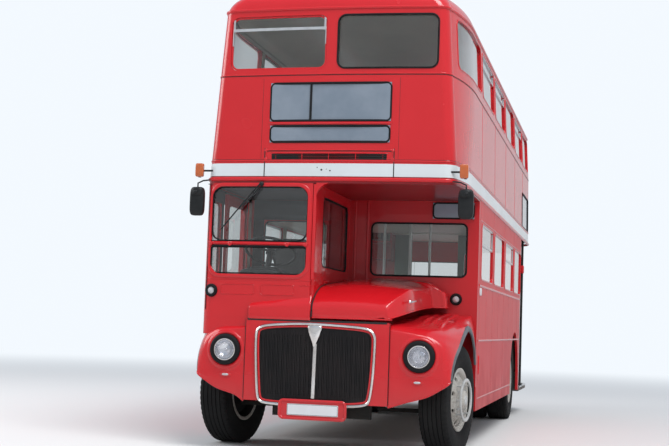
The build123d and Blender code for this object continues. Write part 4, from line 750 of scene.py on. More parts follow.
def spline(points, count):
    """Points through the first axis of an array at even steps: each span is the cubic that passes through
    its two points with the slopes of their neighbours."""
    last = len(points) - 1
    t = np.linspace(0, last, count)
    i = np.minimum(t.astype(int), last - 1)
    f = (t - i).reshape((-1,) + (1,) * (points.ndim - 1))
    full = np.concatenate([2 * points[:1] - points[1:2], points, 2 * points[-1:] - points[-2:-1]])
    a, b, c, d = full[i], full[i + 1], full[i + 2], full[i + 3]
    return 0.5 * (2 * b + (c - a) * f + (2 * a - 5 * b + 4 * c - d) * f**2 + (3 * b - a - 3 * c + d) * f**3)


def pressed(cage, rows, cols):
    """A smooth sheet through a cage of measured points, splined along its rows and then across them."""
    return np.swapaxes(spline(np.swapaxes(spline(np.asarray(cage, float), rows), 0, 1), cols), 0, 1)


def walled(piece, thick):
    """Give a single sheet its metal, inwards from the face that shows, in metres."""
    wall = piece.modifiers.new("metal", "SOLIDIFY")
    wall.thickness, wall.offset = thick, -1.0
    return piece


def facing(sheet, towards):
    """A sheet over a grid of points whose faces look along a direction."""
    verts, quads, caps = grid(sheet)
    a, b, c = (verts[quads[:, k]] for k in range(3))
    looks_away = (np.cross(b - a, c - b) @ np.asarray(towards, float)).sum() < 0
    return verts, quads[:, ::-1] if looks_away else quads, caps


cage = []
for y, joint, crown, crease, cx, fx, fz in LID:
    width, drop = cx - LID_EDGE, crown - crease
    shoulder = np.interp(y, (820, 1230), (0.42, 0.24))
    cage.append([
        (LID_EDGE, y, joint), (LID_EDGE + 60, y, joint + 0.35 * (crown - joint)), (LID_EDGE + 0.3 * width, y, crown),
        (LID_EDGE + 0.6 * width, y, crown - 0.08 * drop), (LID_EDGE + 0.84 * width, y, crown - shoulder * drop),
        (cx - 24, y, crease + 14), (cx, y, crease), (cx + 0.35 * (fx - cx) + 6, y, crease - 0.35 * (crease - fz)),
        (fx, y, fz),
    ])
lid_sheet = pressed(cage, 90, 70)
lid = walled(put("bonnet_lid_panel", [facing(lid_sheet, UPWARD)], red_paint, "bonnet", both_ways=True), 0.014)
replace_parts(lid, "bonnet_lid")
lip = [carried(upright_line(level(-90, 640, 1219, 20), -30), AHEAD, half_round(9, 16)),
       carried(lid_sheet[::3, -1], NEARSIDE, half_round(6, 14))]
put("bonnet_rolled_edge", lip, red_paint, "bonnet")
pull = [(779, 120, 1385), (792, 135, 1388), (800, 170, 1392), (800, 250, 1398), (796, 262, 1399)]
handle = [carried(pull, NEARSIDE, ARM * 0.9),
          turned([(0, 0), (6, 0), (6, 15), (0, 18), (-8, 18)], (770, 128, 1386), NEARSIDE, 20)]
put("bonnet_handle", handle, bright, "bonnet")

xs, turned_back, dropped = FIXED_ACROSS.T
fixed = []
for y, outer, inner in FIXED:
    height = outer + (inner - outer) * (xs - xs[0]) / (xs[-1] - xs[0]) - dropped * (outer > 1290)
    fixed.append(np.stack([xs, y + np.minimum(turned_back, 30 - y), height], 1))
side_panel = put("bonnet_side_panel", [facing(pressed(fixed, 30, 40), AHEAD)], red_paint, both_ways=True)
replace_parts(walled(side_panel, 0.012), "bonnet_side")
gaps = [carried(lid_sheet[:, 0] + (-3, 0, 2), UPWARD, flat_bar(5, 2, -14)),
        carried(upright_line(level(-690, 596, 1186, 20), -35), AHEAD, flat_bar(9, 1, -3))]
put("bonnet_joint", gaps, dark)

# Radiator front. A polished half-round frame follows the shield-shaped opening in the red cowl; a
# tapered centre bar hangs from a plain boss, over fine dark mesh with the radiator behind it.
OUTLINE = np.array([
    (-60, 1172), (-240, 1169), (-430, 1156), (-535, 1140), (-588, 1112), (-610, 1062), (-611, 918), (-602, 760),
    (-591, 617), (-579, 512), (-560, 462), (-520, 438), (-440, 428), (-300, 424), (-60, 424), (180, 428),
    (307, 434), (400, 446), (446, 466), (470, 505), (485, 590), (495, 690), (501, 790), (506, 920), (507, 1030),
    (499, 1078), (476, 1114), (432, 1140), (333, 1155), (150, 1165),
], float)
FRAME_TUBE = [(-4, -15), (10, -14), (20, -8), (24, 0), (20, 8), (10, 14), (-4, 15)]
CENTRE_BAR = [(-4, -17), (8, -16), (16, -8), (18, 0), (16, 8), (8, 16), (-4, 17)]
INNER_STRIP = [(-4, -9), (5, -9), (8, 0), (5, 9), (-4, 9)]
# Each row of the boss: height, half width and stand-out.
BOSS = ((960, 14, 20), (985, 20, 24), (1020, 34, 28), (1060, 50, 30), (1100, 62, 30), (1132, 66, 26), (1150, 58, 14),
        (1156, 40, 2))
WIRE, WIRE_PITCH = flat_bar(2, 2, -3), 15.0


def closed_spline(points, steps):
    """A closed smooth line through points: the open spline of three rounds of them, of which the middle
    one is kept."""
    count = len(points) * steps
    thrice = np.concatenate([points, points, points, points[:1]])
    return spline(thrice, 3 * count + 1)[count:2 * count]


def inset(line, by):
    """A closed flat line moved inwards by a distance, along its own square directions."""
    along = np.roll(line, -1, 0) - np.roll(line, 1, 0)
    out = unit(np.stack([along[:, 1], -along[:, 0]], 1))
    out *= np.sign(((line - line.mean(0)) * out).sum(1, keepdims=True).mean())
    return line - out * by


def reach_at(line, axis, at, count, within=np.inf):
    """How far a closed line reaches in its other direction near one place: the least and the most of its
    nearest points there."""
    close = line[np.abs(line[:, axis] - at) < within]
    nearest = close[np.abs(close[:, axis] - at).argsort()[:count]]
    return nearest[:, 1 - axis].min(), nearest[:, 1 - axis].max()


chrome = finish("worn_chrome", (0.74, 0.72, 0.71), (0.60, 0.55, 0.52), 0.12, 0.16, 5.0, 90.0, 0.03, metal=1.0)
grille_black = finish("grille_black", (0.007, 0.006, 0.007), (0.016, 0.012, 0.012), 0.75, 0.2, 5.0, 160.0, 0.1)
shield = closed_spline(OUTLINE, 6)
z = np.array([500, 640, 800, 940, 985])
bar_path = np.stack([-50 - 0.012 * (985 - z), -40 + 0 * z, z], 1)
frame_parts = [carried(upright_line(inset(shield, 13), -38), AHEAD, FRAME_TUBE, True),
               carried(spline(bar_path, 20), AHEAD, CENTRE_BAR)]
grille = put("grille_frame_bright", frame_parts, chrome)
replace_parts(grille, "grille_frame")
turn = np.linspace(0, pi, 13)
boss_rows = [np.stack([-56 - wide * np.cos(turn), -38 - proud * np.sin(turn) ** 0.6, z + 0 * turn], 1)
             for z, wide, proud in BOSS]
put("grille_boss", [grid(spline(np.array(boss_rows), 30))], chrome)
inner = inset(shield, 34)
put("grille_inner_strip", [carried(upright_line(inner, -36), AHEAD, INNER_STRIP, True)], red_paint)
wires = []
for x in np.arange(-570, 470, WIRE_PITCH):
    z0, z1 = reach_at(inner, 0, x, 8, 40)
    if z1 - z0 > 300:
        wires.append(carried([(x, -38, z0), (x, -38, z1)], AHEAD, WIRE))
for z in np.arange(446, 1140, WIRE_PITCH):
    x0, x1 = reach_at(inner, 1, z, 10)
    if x1 - x0 > 600:
        wires.append(carried([(x0, -36, z), (x1, -36, z)], AHEAD, WIRE))
put("grille_wires", wires, grille_black)
dress(grille_black, "grille_mesh")
seams = [carried([(x, -34, 470), (x, -34, 1184)], AHEAD, flat_bar(3, 1, -3)) for x in (-704, 622)]
put("cowl_seams", seams, dark)

# Number plate panel: a red pressed panel with a rounded rim, and a blank white plate screwed on.
# Each step of the panel: how far it grows past its outline, and its distance back, from the cowl out.
PLATE_PANEL = ((0, -60), (8, -76), (8, -84), (2, -90), (-8, -91), (-16, -86), (-20, -80))


def capped(rings, shift=(0, 0, 0)):
    """A closed-ended surface through rings of points: its last ring is drawn together in its middle."""
    last = np.asarray(rings[-1])
    middle = np.repeat(last.mean(0, keepdims=True) + shift, len(last), 0)
    return grid(np.array([*rings, middle]), round_cols=True)


plate_white = finish("plate_white", (0.66, 0.67, 0.69), (0.60, 0.61, 0.63), 0.3, 0.1, 6.0, 120.0, 0.02, coat=0.4)
panel = [upright_line(window_line(-352 - grow, 258 + grow, 317 - grow, 483 + grow, 40 + grow), y)
         for grow, y in PLATE_PANEL]
plate_panel = put("plate_panel", [capped(panel)], red_paint)
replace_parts(plate_panel, "number_plate_panel")
plate_edge = window_line(-277, 190, 349, 449, 10)
plate = [upright_line(plate_edge, -79), upright_line(plate_edge, -85),
         upright_line(plate_edge * 0.99 + plate_edge.mean(0) * 0.01, -87)]
put("blank_plate", [capped(plate)], plate_white)
rim_line = upright_line(window_line(-272, 185, 354, 444, 8), -86)
put("plate_rim", [carried(rim_line, AHEAD, flat_bar(1.5, 1.2, -1), True)], black_arm)

# Front wings. Each is one large aluminium pressing: a flat slanting face with a raised ring round
# the headlamp, a crown with four short ribs, and an arch edge with a rubber bead.
LAMP_X, LAMP_Z = 888, 905
LAMP_RING_AT, LAMP_BOWL_AT = 158, 108
# Each rib: its place across, and the distance back at which it rises.
RIBS = ((770, 620), (855, 500), (940, 400), (1022, 330))
WING_BEAD = [(-12, -24), (2, -26), (9, -18), (11, 0), (9, 18), (2, 26), (-12, 24)]
NEAR_INNER_EDGE, OFF_INNER_EDGE = 622, 704
CROWN_FROM, OFF_CROWN_SHARE = 1100, 0.42


def wing_cage(a):
    """The nearside wing as measured, with its inner edge at a: rows from the bottom of the face over the
    top and back to the bulkhead, columns from the inner edge to the arch."""
    return np.array([
        [(a, -22, 452), (790, -22, 508), (960, -22, 560), (1085, -20, 630), (1142, -14, 668), (1160, 4, 690),
         (1163, 30, 700)],
        [(a, -28, 480), (790, -30, 535), (960, -30, 585), (1090, -26, 652), (1148, -12, 688), (1166, 12, 706),
         (1166, 40, 712)],
        [(a, -28, 700), (790, -30, 720), (960, -30, 742), (1090, -24, 770), (1146, -4, 786), (1170, 30, 794),
         (1172, 62, 792)],
        [(a, -27, 930), (790, -28, 925), (960, -27, 918), (1088, -14, 905), (1142, 22, 896), (1176, 78, 884),
         (1180, 118, 872)],
        [(a, -24, 1090), (790, -22, 1072), (960, -14, 1045), (1078, 14, 1012), (1132, 62, 992), (1184, 158, 960),
         (1190, 200, 938)],
        [(a, -4, 1140), (790, 4, 1122), (960, 22, 1098), (1070, 66, 1066), (1126, 120, 1046), (1192, 252, 1016),
         (1200, 290, 990)],
        [(a, 70, 1180), (790, 84, 1165), (960, 108, 1146), (1070, 160, 1118), (1130, 215, 1100), (1200, 352, 1076),
         (1210, 380, 1052)],
        [(a, 300, 1214), (790, 310, 1206), (960, 330, 1194), (1075, 370, 1172), (1140, 420, 1152),
         (1206, 520, 1142), (1216, 540, 1120)],
        [(a, 640, 1240), (790, 645, 1242), (960, 655, 1238), (1085, 680, 1222), (1150, 710, 1204),
         (1208, 760, 1186), (1217, 770, 1168)],
        [(a, 1000, 1262), (790, 1000, 1270), (960, 1005, 1270), (1095, 1010, 1258), (1162, 1020, 1236),
         (1211, 1040, 1160), (1217, 1045, 1125)],
        [(a, 1270, 1278), (790, 1270, 1290), (960, 1270, 1290), (1100, 1270, 1282), (1170, 1272, 1258),
         (1213, 1278, 1080), (1217, 1282, 1000)],
        [(a, 1446, 1290), (790, 1446, 1304), (960, 1446, 1302), (1105, 1446, 1292), (1175, 1446, 1268),
         (1214, 1440, 960), (1217, 1410, 830)],
    ], float)


def wing_sheet(cage):
    """The wing's smooth sheet, pushed out in a raised ring round the lamp, in behind its lens, and up in
    the ribs. The ring and each rib are bell curves across; the bowl and a rib's start are soft steps."""
    sheet = pressed(cage, 170, 110)
    x, y, z = sheet[..., 0], sheet[..., 1], sheet[..., 2]
    away = np.hypot(np.abs(x) - LAMP_X, z - LAMP_Z)
    sheet[..., 1] -= 13 * np.exp(-((away - LAMP_RING_AT) / 16) ** 4) * (y < 40)
    sheet[..., 1] += 55 / (1 + np.exp((away - LAMP_BOWL_AT) / 3)) * (y < 40)
    for rib, start in RIBS:
        risen = 1 / (1 + np.exp(-(y - start) / 45))
        sheet[..., 2] += 15 * np.exp(-((np.abs(x) - rib) / 19) ** 4) * risen * (y > 120)
    return sheet


edge_grey = finish("wing_edge_rubber", (0.125, 0.135, 0.150), (0.08, 0.085, 0.095), 0.45, 0.2, 6.0, 90.0, 0.06,
                   0.4, 1.1)
near_cage, off_cage = wing_cage(NEAR_INNER_EDGE), wing_cage(OFF_INNER_EDGE)
crown = off_cage[..., 2]
off_cage[..., 2] = np.where(crown > CROWN_FROM, CROWN_FROM + (crown - CROWN_FROM) * OFF_CROWN_SHARE, crown)
for name, cage, side in (("nearside", near_cage, 1), ("offside", off_cage, -1)):
    sheet = wing_sheet(cage) * (side, 1, 1)
    wing = put(f"wing_{name}_panel", [facing(sheet, (side * 0.3, -1, 0.6))], red_paint, both_ways=True)
    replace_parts(walled(wing, 0.010), f"wing_{name}")
    put(f"wing_{name}_bead", [carried(sheet[4:, -1], (side, 0, 0.15), WING_BEAD)], edge_grey)
    put(f"wing_{name}_lip", [carried(sheet[0, :-8], AHEAD, half_round(7, 20))], red_paint)

# Cab skirt: the cab's lower panel comes down behind the offside wing, which is bolted to it through
# a beading; it follows the cab's front, its corner and its side, and is cut out over the wheel.
FRONT_AXLE, AXLE_Z = 770, 507
SKIRT_TOP, SKIRT_FOOT, SKIRT_ARCH_Z, SKIRT_ARCH = 1200, 1060, 559, 619
corner_turn = np.linspace(0, pi / 2, 12)[1:]
x = np.concatenate([np.linspace(-698, -1055, 14), -1055 - 109.5 * np.sin(corner_turn)])
skirt = [nose_line(np.column_stack([x, np.full(len(x), z)]), 1.5) for z in np.linspace(1040, SKIRT_TOP, 5)]
put("cab_skirt_front", [grid(np.array(skirt))], red_paint, both_ways=True)
y = np.linspace(CHEEK_START, 1446, 50)
arch_top = SKIRT_ARCH_Z + np.sqrt(np.clip(SKIRT_ARCH**2 - (y - FRONT_AXLE) ** 2, 0, None))
foot = np.where(np.abs(y - FRONT_AXLE) < SKIRT_ARCH, np.maximum(arch_top, SKIRT_FOOT), SKIRT_FOOT)
heights = [foot + (SKIRT_TOP - foot) * share for share in np.linspace(0, 1, 5)]
skirt = [np.stack([-side_x(y, z) + 1.5, y, z], 1) for z in heights]
put("cab_skirt_side", [grid(np.array(skirt))], red_paint, both_ways=True)

# Headlamps. A fluted lens under a bright rim sits in a thick black rubber ring, over a polished
# bowl; a small clear side lamp sits in a slot below each.
RUBBER_RING = [(-10, 142), (14, 142), (30, 134), (37, 122), (36, 106), (24, 98), (4, 98), (-10, 142)]
LAMP_RIM = [(18, 100), (32, 99), (34, 95), (32, 91), (22, 91), (18, 100)]
LAMP_BOWL = [(20, 94), (6, 88), (-20, 68), (-40, 36), (-44, 0)]
LAMP_BULB = [(-44, 16), (-10, 16), (4, 14), (10, 8), (11, 0)]
LENS_RADIUS, FLUTE = 93, 4.2
lens_glass = clear_glass("lamp_glass", (0.93, 0.94, 0.95), 0.06)
reflector = finish("lamp_reflector", (0.80, 0.80, 0.82), (0.66, 0.66, 0.70), 0.12, 0.1, 10.0, metal=1.0)
rings, rims, bowls, lenses, slot_lenses, slots = [], [], [], [], [], []
turn = np.linspace(0, 2 * pi, 97)[:-1]
share = np.linspace(0, 1, 14)[:, None]
for side in (1, -1):
    at = (side * 890, -30, LAMP_Z)
    rings.append(turned(RUBBER_RING, at, AHEAD, 72))
    rims.append(turned(LAMP_RIM, at, AHEAD, 72))
    bowls += [turned(LAMP_BOWL, at, AHEAD), turned(LAMP_BULB, at, AHEAD, 24)]
    aside = LENS_RADIUS * share * np.cos(turn)
    dome = 26 + 22 * (1 - share**2) + 1.2 * np.cos(aside / FLUTE) * (1 - share**6)
    lens = np.stack([at[0] + aside, at[1] - dome, LAMP_Z + LENS_RADIUS * share * np.sin(turn)], -1)
    lenses.append(grid(lens, round_cols=True))
    slots.append(rounded_block((side * 880, -32, 678), (104, 14, 34), 3.0, 14, 28))
    slot_lenses.append(rounded_block((side * 880, -38, 679), (62, 18, 22), 2.5, 12, 20))
lamp_rings = put("headlamp_rubber_rings", rings, rubber)
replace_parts(lamp_rings, "headlamps")
put("headlamp_rims", rims, chrome)
put("headlamp_bowls", bowls, reflector, both_ways=True)
walled(put("headlamp_lenses", lenses, lens_glass, both_ways=True), 0.004)
put("side_slot_frames", slots, red_paint)
put("side_slot_lenses", slot_lenses, clear_lens)

# Wheels. Commercial tyres with worn shoulders and grooves round the tread, on steel rims painted
# cream; the front ones bulge and carry a bright guard ring on posts, the rear ones are dished.
tyre_rubber = finish("tyre_rubber", (0.007, 0.007, 0.008), (0.015, 0.015, 0.015), 0.62, 0.25, 3.0, 70.0, 0.12,
                     0.35, 1.2, grime=(0.035, 0.032, 0.030), gloss=0.12)
rim_cream = finish("rim_cream", (0.52, 0.50, 0.46), (0.40, 0.37, 0.33), 0.42, 0.2, 7.0, 60.0, 0.05, 0.8, 0.9,
                   grime=(0.13, 0.10, 0.08))
hub_paint = finish("hub_grey", (0.55, 0.55, 0.54), (0.42, 0.42, 0.41), 0.30, 0.2, 9.0, 90.0, 0.04, 0.4, 0.9,
                   coat=0.5)
STEER = radians(-8.0)
KING_PIN, TYRE_OUT = 930.0, 110.0
REAR_TYRE, TWIN_SPACING = 1035.0, 305
# Each point holds the distance out from the tyre's middle and the radius.
TREAD = np.array([(-100, 262), (-111, 296), (-128, 332), (-137, 372), (-139.5, 402), (-138.5, 432), (-135, 462),
                  (-131, 486), (-118, 501), (-104, 505.5), (-90, 506.6), (-84, 497), (-80, 506.8), (-46, 507),
                  (-40, 497), (-36, 507), (-4, 507), (0, 497)])
MOULDED_RINGS, SHOULDER_FROM, SHOULDER_RADIUS, SHOULDER_SLOTS = (128, 138.5), 100, 484, 60
# Hub, disc, outer flange, barrel, inner flange, and back along the inside.
FRONT_RIM = [
    (178, 0), (178, 40), (175, 70), (164, 88), (140, 98), (131, 108), (130, 172), (124, 190), (92, 234), (85, 243),
    (96, 248), (108, 256), (117, 270), (122, 288), (119, 293), (111, 293), (101, 260), (-101, 260), (-111, 293),
    (-119, 293), (-119, 281), (-108, 256), (-92, 246), (60, 242), (72, 230), (110, 184), (120, 170), (121, 108),
    (132, 90), (156, 80), (168, 66), (170, 0),
]
BRAKE_DRUM = [(-50, 60), (-54, 200), (-46, 226), (30, 230), (34, 150)]
RIM_BARREL = [(-114, 262), (-108, 254), (-92, 243.5), (40, 243.5)]
HUB_CAP = [(174, 0), (188, 0), (187, 30), (182, 44), (174, 48)]
GUARD_RING = [(172, 170), (184, 170), (188, 176), (188, 193), (184, 199), (172, 199), (169, 193), (169, 176),
              (172, 170)]
GUARD_POST = [(124, 0), (124, 8), (172, 8), (172, 0)]
REAR_RIM_EDGE = [(112, 262), (118, 290), (126, 293), (128, 286), (118, 258), (108, 250)]
AXLE_COVER = [(91, 0), (104, 0), (104, 48), (98, 60), (91, 60)]


def made_real(piece):
    """A mesh of a piece as its modifiers make it."""
    return bpy.data.meshes.new_from_object(piece.evaluated_get(bpy.context.evaluated_depsgraph_get()))


def ring_spots(middle, out, radius, count, start=0.0):
    """Places set evenly round an axle, from a share of a step past the level line to its front."""
    first = np.cross(out, (0, 0, 1.0))
    turns = (np.arange(count) + start) * 2 * pi / count
    return [middle + radius * (cos(t) * first + sin(t) * np.array([0, 0, 1.0])) for t in turns]


def tyre_parts(middle, out):
    """One tyre: the tread falls in at its grooves and at slots across the shoulders, the side walls bulge,
    with rings moulded round them."""
    across, radius = np.concatenate([TREAD, TREAD[-2::-1] * (-1, 1)]).T
    moulded = 1.5 * np.isin(np.abs(across), MOULDED_RINGS)
    turn = np.linspace(0, 2 * pi, 181)[:-1, None]
    shoulder = (np.abs(across) > SHOULDER_FROM) & (radius > SHOULDER_RADIUS)
    reach = radius + moulded - 9.0 * (np.cos(turn * SHOULDER_SLOTS) > 0.25) * shoulder
    ray = np.cos(turn)[..., None] * np.cross(out, (0, 0, 1.0)) + np.sin(turn)[..., None] * np.array([0, 0, 1.0])
    return grid(middle + across[None, :, None] * out + reach[..., None] * ray, round_rows=True)


def bolt_ring(middle, out, radius, count, along, size):
    """Round-nosed nuts set evenly round an axle."""
    nut = [(-4, size), (size * 0.9, size), (size * 1.1, size * 0.7), (size * 1.9, size * 0.55), (size * 2, 0)]
    return [turned(nut, spot, out, 6) for spot in ring_spots(middle + out * along, out, radius, count)]


def drilled(piece, middle, out, radius, count, size, along):
    """Drill a ring of holes through a closed piece, all the way between two places along the axle."""
    pin = [(along[0], 0), (along[0], size), (along[1], size), (along[1], 0)]
    verts, faces, base = [], [], 0
    for spot in ring_spots(middle, out, radius, count, 0.4):
        points, quads, _ = turned(pin, spot, out, 20)
        verts.append(points)
        faces += (quads + base).tolist()
        base += len(points)
    drill = placed("drill", meshed("drill", metres(np.concatenate(verts)), faces))
    bore = piece.modifiers.new("bore", "BOOLEAN")
    bore.object, bore.operation, bore.solver = drill, "DIFFERENCE", "EXACT"
    piece.data = made_real(piece)
    piece.modifiers.clear()
    bpy.data.objects.remove(drill)
    return piece


for side, name in ((1, "nearside"), (-1, "offside")):
    out = np.array([side * cos(STEER), side * sin(STEER), 0.0])
    middle = np.array([side * KING_PIN, FRONT_AXLE, AXLE_Z]) + out * TYRE_OUT
    body = f"front_wheel_{name}"
    disc = put(f"rim_front_{name}_disc", [turned(FRONT_RIM, middle, out, 72)], rim_cream, body)
    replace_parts(drilled(disc, middle, out, 212, 8, 23, (40, 160)), f"rim_front_{name}")
    tyre = put(f"tyre_front_{name}_tread", [tyre_parts(middle, out)], tyre_rubber, body, sharp=28)
    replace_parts(tyre, f"tyre_front_{name}")
    # Round the brake drum, a black sleeve covers the inside of the cream rim's barrel: painted shade, for the rim's
    # inside in the wing's shadow.
    drum = [turned(BRAKE_DRUM, middle, out), turned(RIM_BARREL, middle, out)]
    put(f"brake_drum_and_painted_shade_barrel_{name}", drum, tyre_rubber, body, both_ways=True)
    nuts = bolt_ring(middle, out, 138, 10, 130, 13) + [turned(HUB_CAP, middle, out, 40)]
    put(f"hub_front_{name}", nuts, hub_paint, body)
    posts = [turned(GUARD_POST, spot, out, 12) for spot in ring_spots(middle, out, 182, 4, 0.5)]
    put(f"guard_ring_{name}", [turned(GUARD_RING, middle, out, 72)] + posts, hub_paint, body)
    dress(rim_cream, f"rim_rear_{name}")
    middle, out = np.array([side * REAR_TYRE, REAR_AXLE, AXLE_Z]), np.array([side * 1.0, 0, 0])
    body = f"rear_wheels_{name}"
    tyres = [tyre_parts(middle, out), tyre_parts(middle - out * TWIN_SPACING, out)]
    tyre = put(f"tyres_rear_{name}_tread", tyres, tyre_rubber, body, sharp=28)
    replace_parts(tyre, f"tyre_rear_{name}")
    put(f"rim_edge_rear_{name}", [turned(REAR_RIM_EDGE, middle, out, 72)], rim_cream, body, both_ways=True)
    cover = [turned(AXLE_COVER, middle, out, 40)]
    cover += bolt_ring(middle, out, 180, 10, -36, 14) + bolt_ring(middle, out, 76, 8, 91, 7)
    put(f"hub_rear_{name}", cover, hub_paint, body)

# Underframe. Chassis-black steel: front subframe and arms, knuckles, engine block, rear axle with
# its radius arms and coil springs, all dusty from the road.
SPRING_AT, SPRING_RADIUS, SPRING_HEIGHT, SPRING_TURNS = (435, 6380, 452), 78, 172, 5
chassis = finish("chassis_black", (0.010, 0.010, 0.010), (0.022, 0.020, 0.018), 0.6, 0.25, 3.0, 40.0, 0.12,
                 0.5, 1.0, grime=(0.045, 0.040, 0.034), gloss=0.2)
cast_grey = finish("engine_grey", (0.11, 0.12, 0.12), (0.07, 0.065, 0.06), 0.55, 0.2, 4.0, 30.0, 0.12, 0.6, 1.2)
dress(chassis, "subframe_front", "axle_rear", "underfloor_units", "knuckle_front_nearside", "knuckle_front_offside")
dress(cast_grey, "engine")
turn = np.linspace(0, 2 * pi * SPRING_TURNS, 160)
out = np.stack([np.cos(turn), np.sin(turn), 0 * turn], 1)
rise = np.stack([0 * turn, 0 * turn, SPRING_HEIGHT * turn / turn[-1]], 1)
coil = np.array(SPRING_AT) + SPRING_RADIUS * out + rise
coils = [carried(coil + ((side - 1) * SPRING_AT[0], 0, 0), out, ARM * 1.1) for side in (1, -1)]
put("rear_coil_springs", coils, chassis)

# Floors and stairs. Both decks have slatted floors of hard wood over dark boards; the platform and the cab floor are
# faced with ribbed cork, the stairs are painted red, and the poles and rails are enamelled.


def slatted_material(name, colour, gap, turned_round=False):
    """Boards with narrow grooves between them: a saw pattern across the slats darkens and lowers the
    grooves."""
    material, tree = new_material(name)
    place = wired(tree, "TexCoord")["Object"]
    parts = wired(tree, "SeparateXYZ", {0: place})
    across = reckoned(tree, "PINGPONG", parts["Y" if turned_round else "X"], gap)
    groove = wired(tree, "MapRange", {0: across, 1: gap * 0.16, 2: gap * 0.26})[0]
    life = alive(tree, {"Colour": colour, "Faded": tuple(c * 0.6 for c in colour), "Roughness": 0.5, "Spread": 0.25,
                        "Speck Size": 40.0, "Bump": 0.1, "Patch Size": 3.0, "Grime Amount": 0.0})
    dip = wired(tree, "Bump", {"Strength": 0.6, "Distance": 0.006, "Height": groove, "Normal": life["Normal"]})
    shader = wired(tree, "BsdfPrincipled", {
        "Base Color": blended(tree, groove, (0.02, 0.018, 0.015, 1), life["Color"]),
        "Roughness": life["Roughness"], "Normal": dip[0],
    })
    wired(tree, "OutputMaterial", {0: shader[0]})
    return material


slats = slatted_material("floor_slats", (0.16, 0.12, 0.09), 0.045)
cork = slatted_material("ribbed_cork", (0.13, 0.10, 0.08), 0.022, True)
inner_red = finish("inner_red", (0.30, 0.006, 0.010), (0.26, 0.008, 0.012), 0.35, 0.15, 1.5, 30.0, 0.03, coat=0.5)
green = finish("lining_green", (0.10, 0.155, 0.12), (0.09, 0.13, 0.10), 0.45, 0.2, 3.0, 50.0, 0.04, coat=0.2)
pole_enamel = finish("pole_enamel", (0.70, 0.70, 0.68), (0.55, 0.55, 0.53), 0.3, 0.15, 5.0, coat=0.5)
seat_frame_grey = finish("seat_frame_grey", (0.20, 0.20, 0.21), (0.13, 0.13, 0.14), 0.35, 0.2, 6.0, metal=0.6)
dress(slats, "floor_lower", "floor_upper")
dress(cork, "platform", "cab_floor")
dress(inner_red, "staircase")
dress(green, "bulkhead_rear")
dress(black_arm, "steering_column", "steering_wheel")
dress(pole_enamel, "handrails")
dress(seat_frame_grey, "seat_frames")

# Linings and ceilings. The saloons are lined with enamelled sheet between the windows, cream above
# and on the ceilings and green below; the cab is lined in dark grey board. All is pinned to the frame.
SHEET = 0.002
LOWER_WALL, UPPER_WALL, CAB_WALL = 33, 44, 34
# Each level of the roof's lining: height, share of the width, how far its front and rear draw in, and
# its corners' radii at the front and rear.
VAULT = ((4050, 1.0, 0, 0, 110, 330), (4166, 0.955, 32, 60, 190, 360), (4262, 0.80, 150, 240, 300, 420),
         (4304, 0.60, 310, 470, 330, 420), (4314, 0.28, 640, 900, 250, 260))
ROOF_HALF, ROOF_LINE = 1172, 4045.0
# The cab's rear wall and its side, sheet by sheet: where each starts and ends, and its foot and top.
CAB_REAR = ((-1120, -140, 1262, 1664), (-1120, -140, 2218, 2424), (-1120, -1006, 1664, 2218),
            (-324, -140, 1664, 2218))
CAB_SIDE = ((60, 1440, 2292, 2424), (60, 655, 1262, 1600), (60, 205, 1600, 2292), (586, 655, 1600, 2292))


def cells(a0, a1, b0, b1, count):
    """Two level sets of numbers over a field, in even steps each way."""
    return np.meshgrid(np.linspace(a0, a1, count[0]), np.linspace(b0, b1, count[1]), indexing="ij")


def side_sheet(side, y0, y1, z0, z1, wall, count=(6, 4)):
    """A lining just inside one body side: it follows the side's curve at one wall thickness in."""
    y, z = cells(y0, y1, z0, z1, count)
    return grid(np.stack([side * (side_x(y, z) - wall), y, z], -1))


def flat_sheet(x0, x1, y0, y1, z, bow, count=(12, 8)):
    """A level ceiling panel with a slight arch from side to side, highest in the middle."""
    x, y = cells(x0, x1, y0, y1, count)
    return grid(np.stack([x, y, z + bow * (1 - ((2 * x - x0 - x1) / (x1 - x0)) ** 2)], -1))


def between(windows, start, end):
    """The stretches of wall before, between and behind windows, each ten short of its windows' edges."""
    ends = [start] + [y for y0, y1 in windows for y in (y0 - 10, y1 + 10)] + [end]
    return list(zip(ends[::2], ends[1::2]))


def roof_ring(z, share, in_front, in_rear, corner_f, corner_r):
    """One level of the roof's lining: a rounded outline that bows out at its front and rear."""
    half = ROOF_HALF * share - 52
    turn = np.linspace(0, pi / 2, 9)
    front, rear = 60 + in_front + corner_f, 8157 - in_rear - corner_r
    nose = np.stack([half - corner_f + corner_f * np.sin(turn), front - corner_f * np.cos(turn)], 1)
    tail = np.stack([half - corner_r + corner_r * np.cos(turn), rear + corner_r * np.sin(turn)], 1)
    ring = np.concatenate([nose, np.linspace(nose[-1], tail[0], 40)[1:-1], tail])
    x, y = ring.T
    y = y + 44 * (x / ROOF_HALF) ** 2 * ((y < 2000) * 1.0 - (y > 6000) * 1.5)
    x = x * (side_x(y, ROOF_LINE) / ROOF_HALF - 0.004)
    return np.column_stack([np.append(x, -x[::-1]), np.append(y, y[::-1]), np.full(2 * len(x), z)])


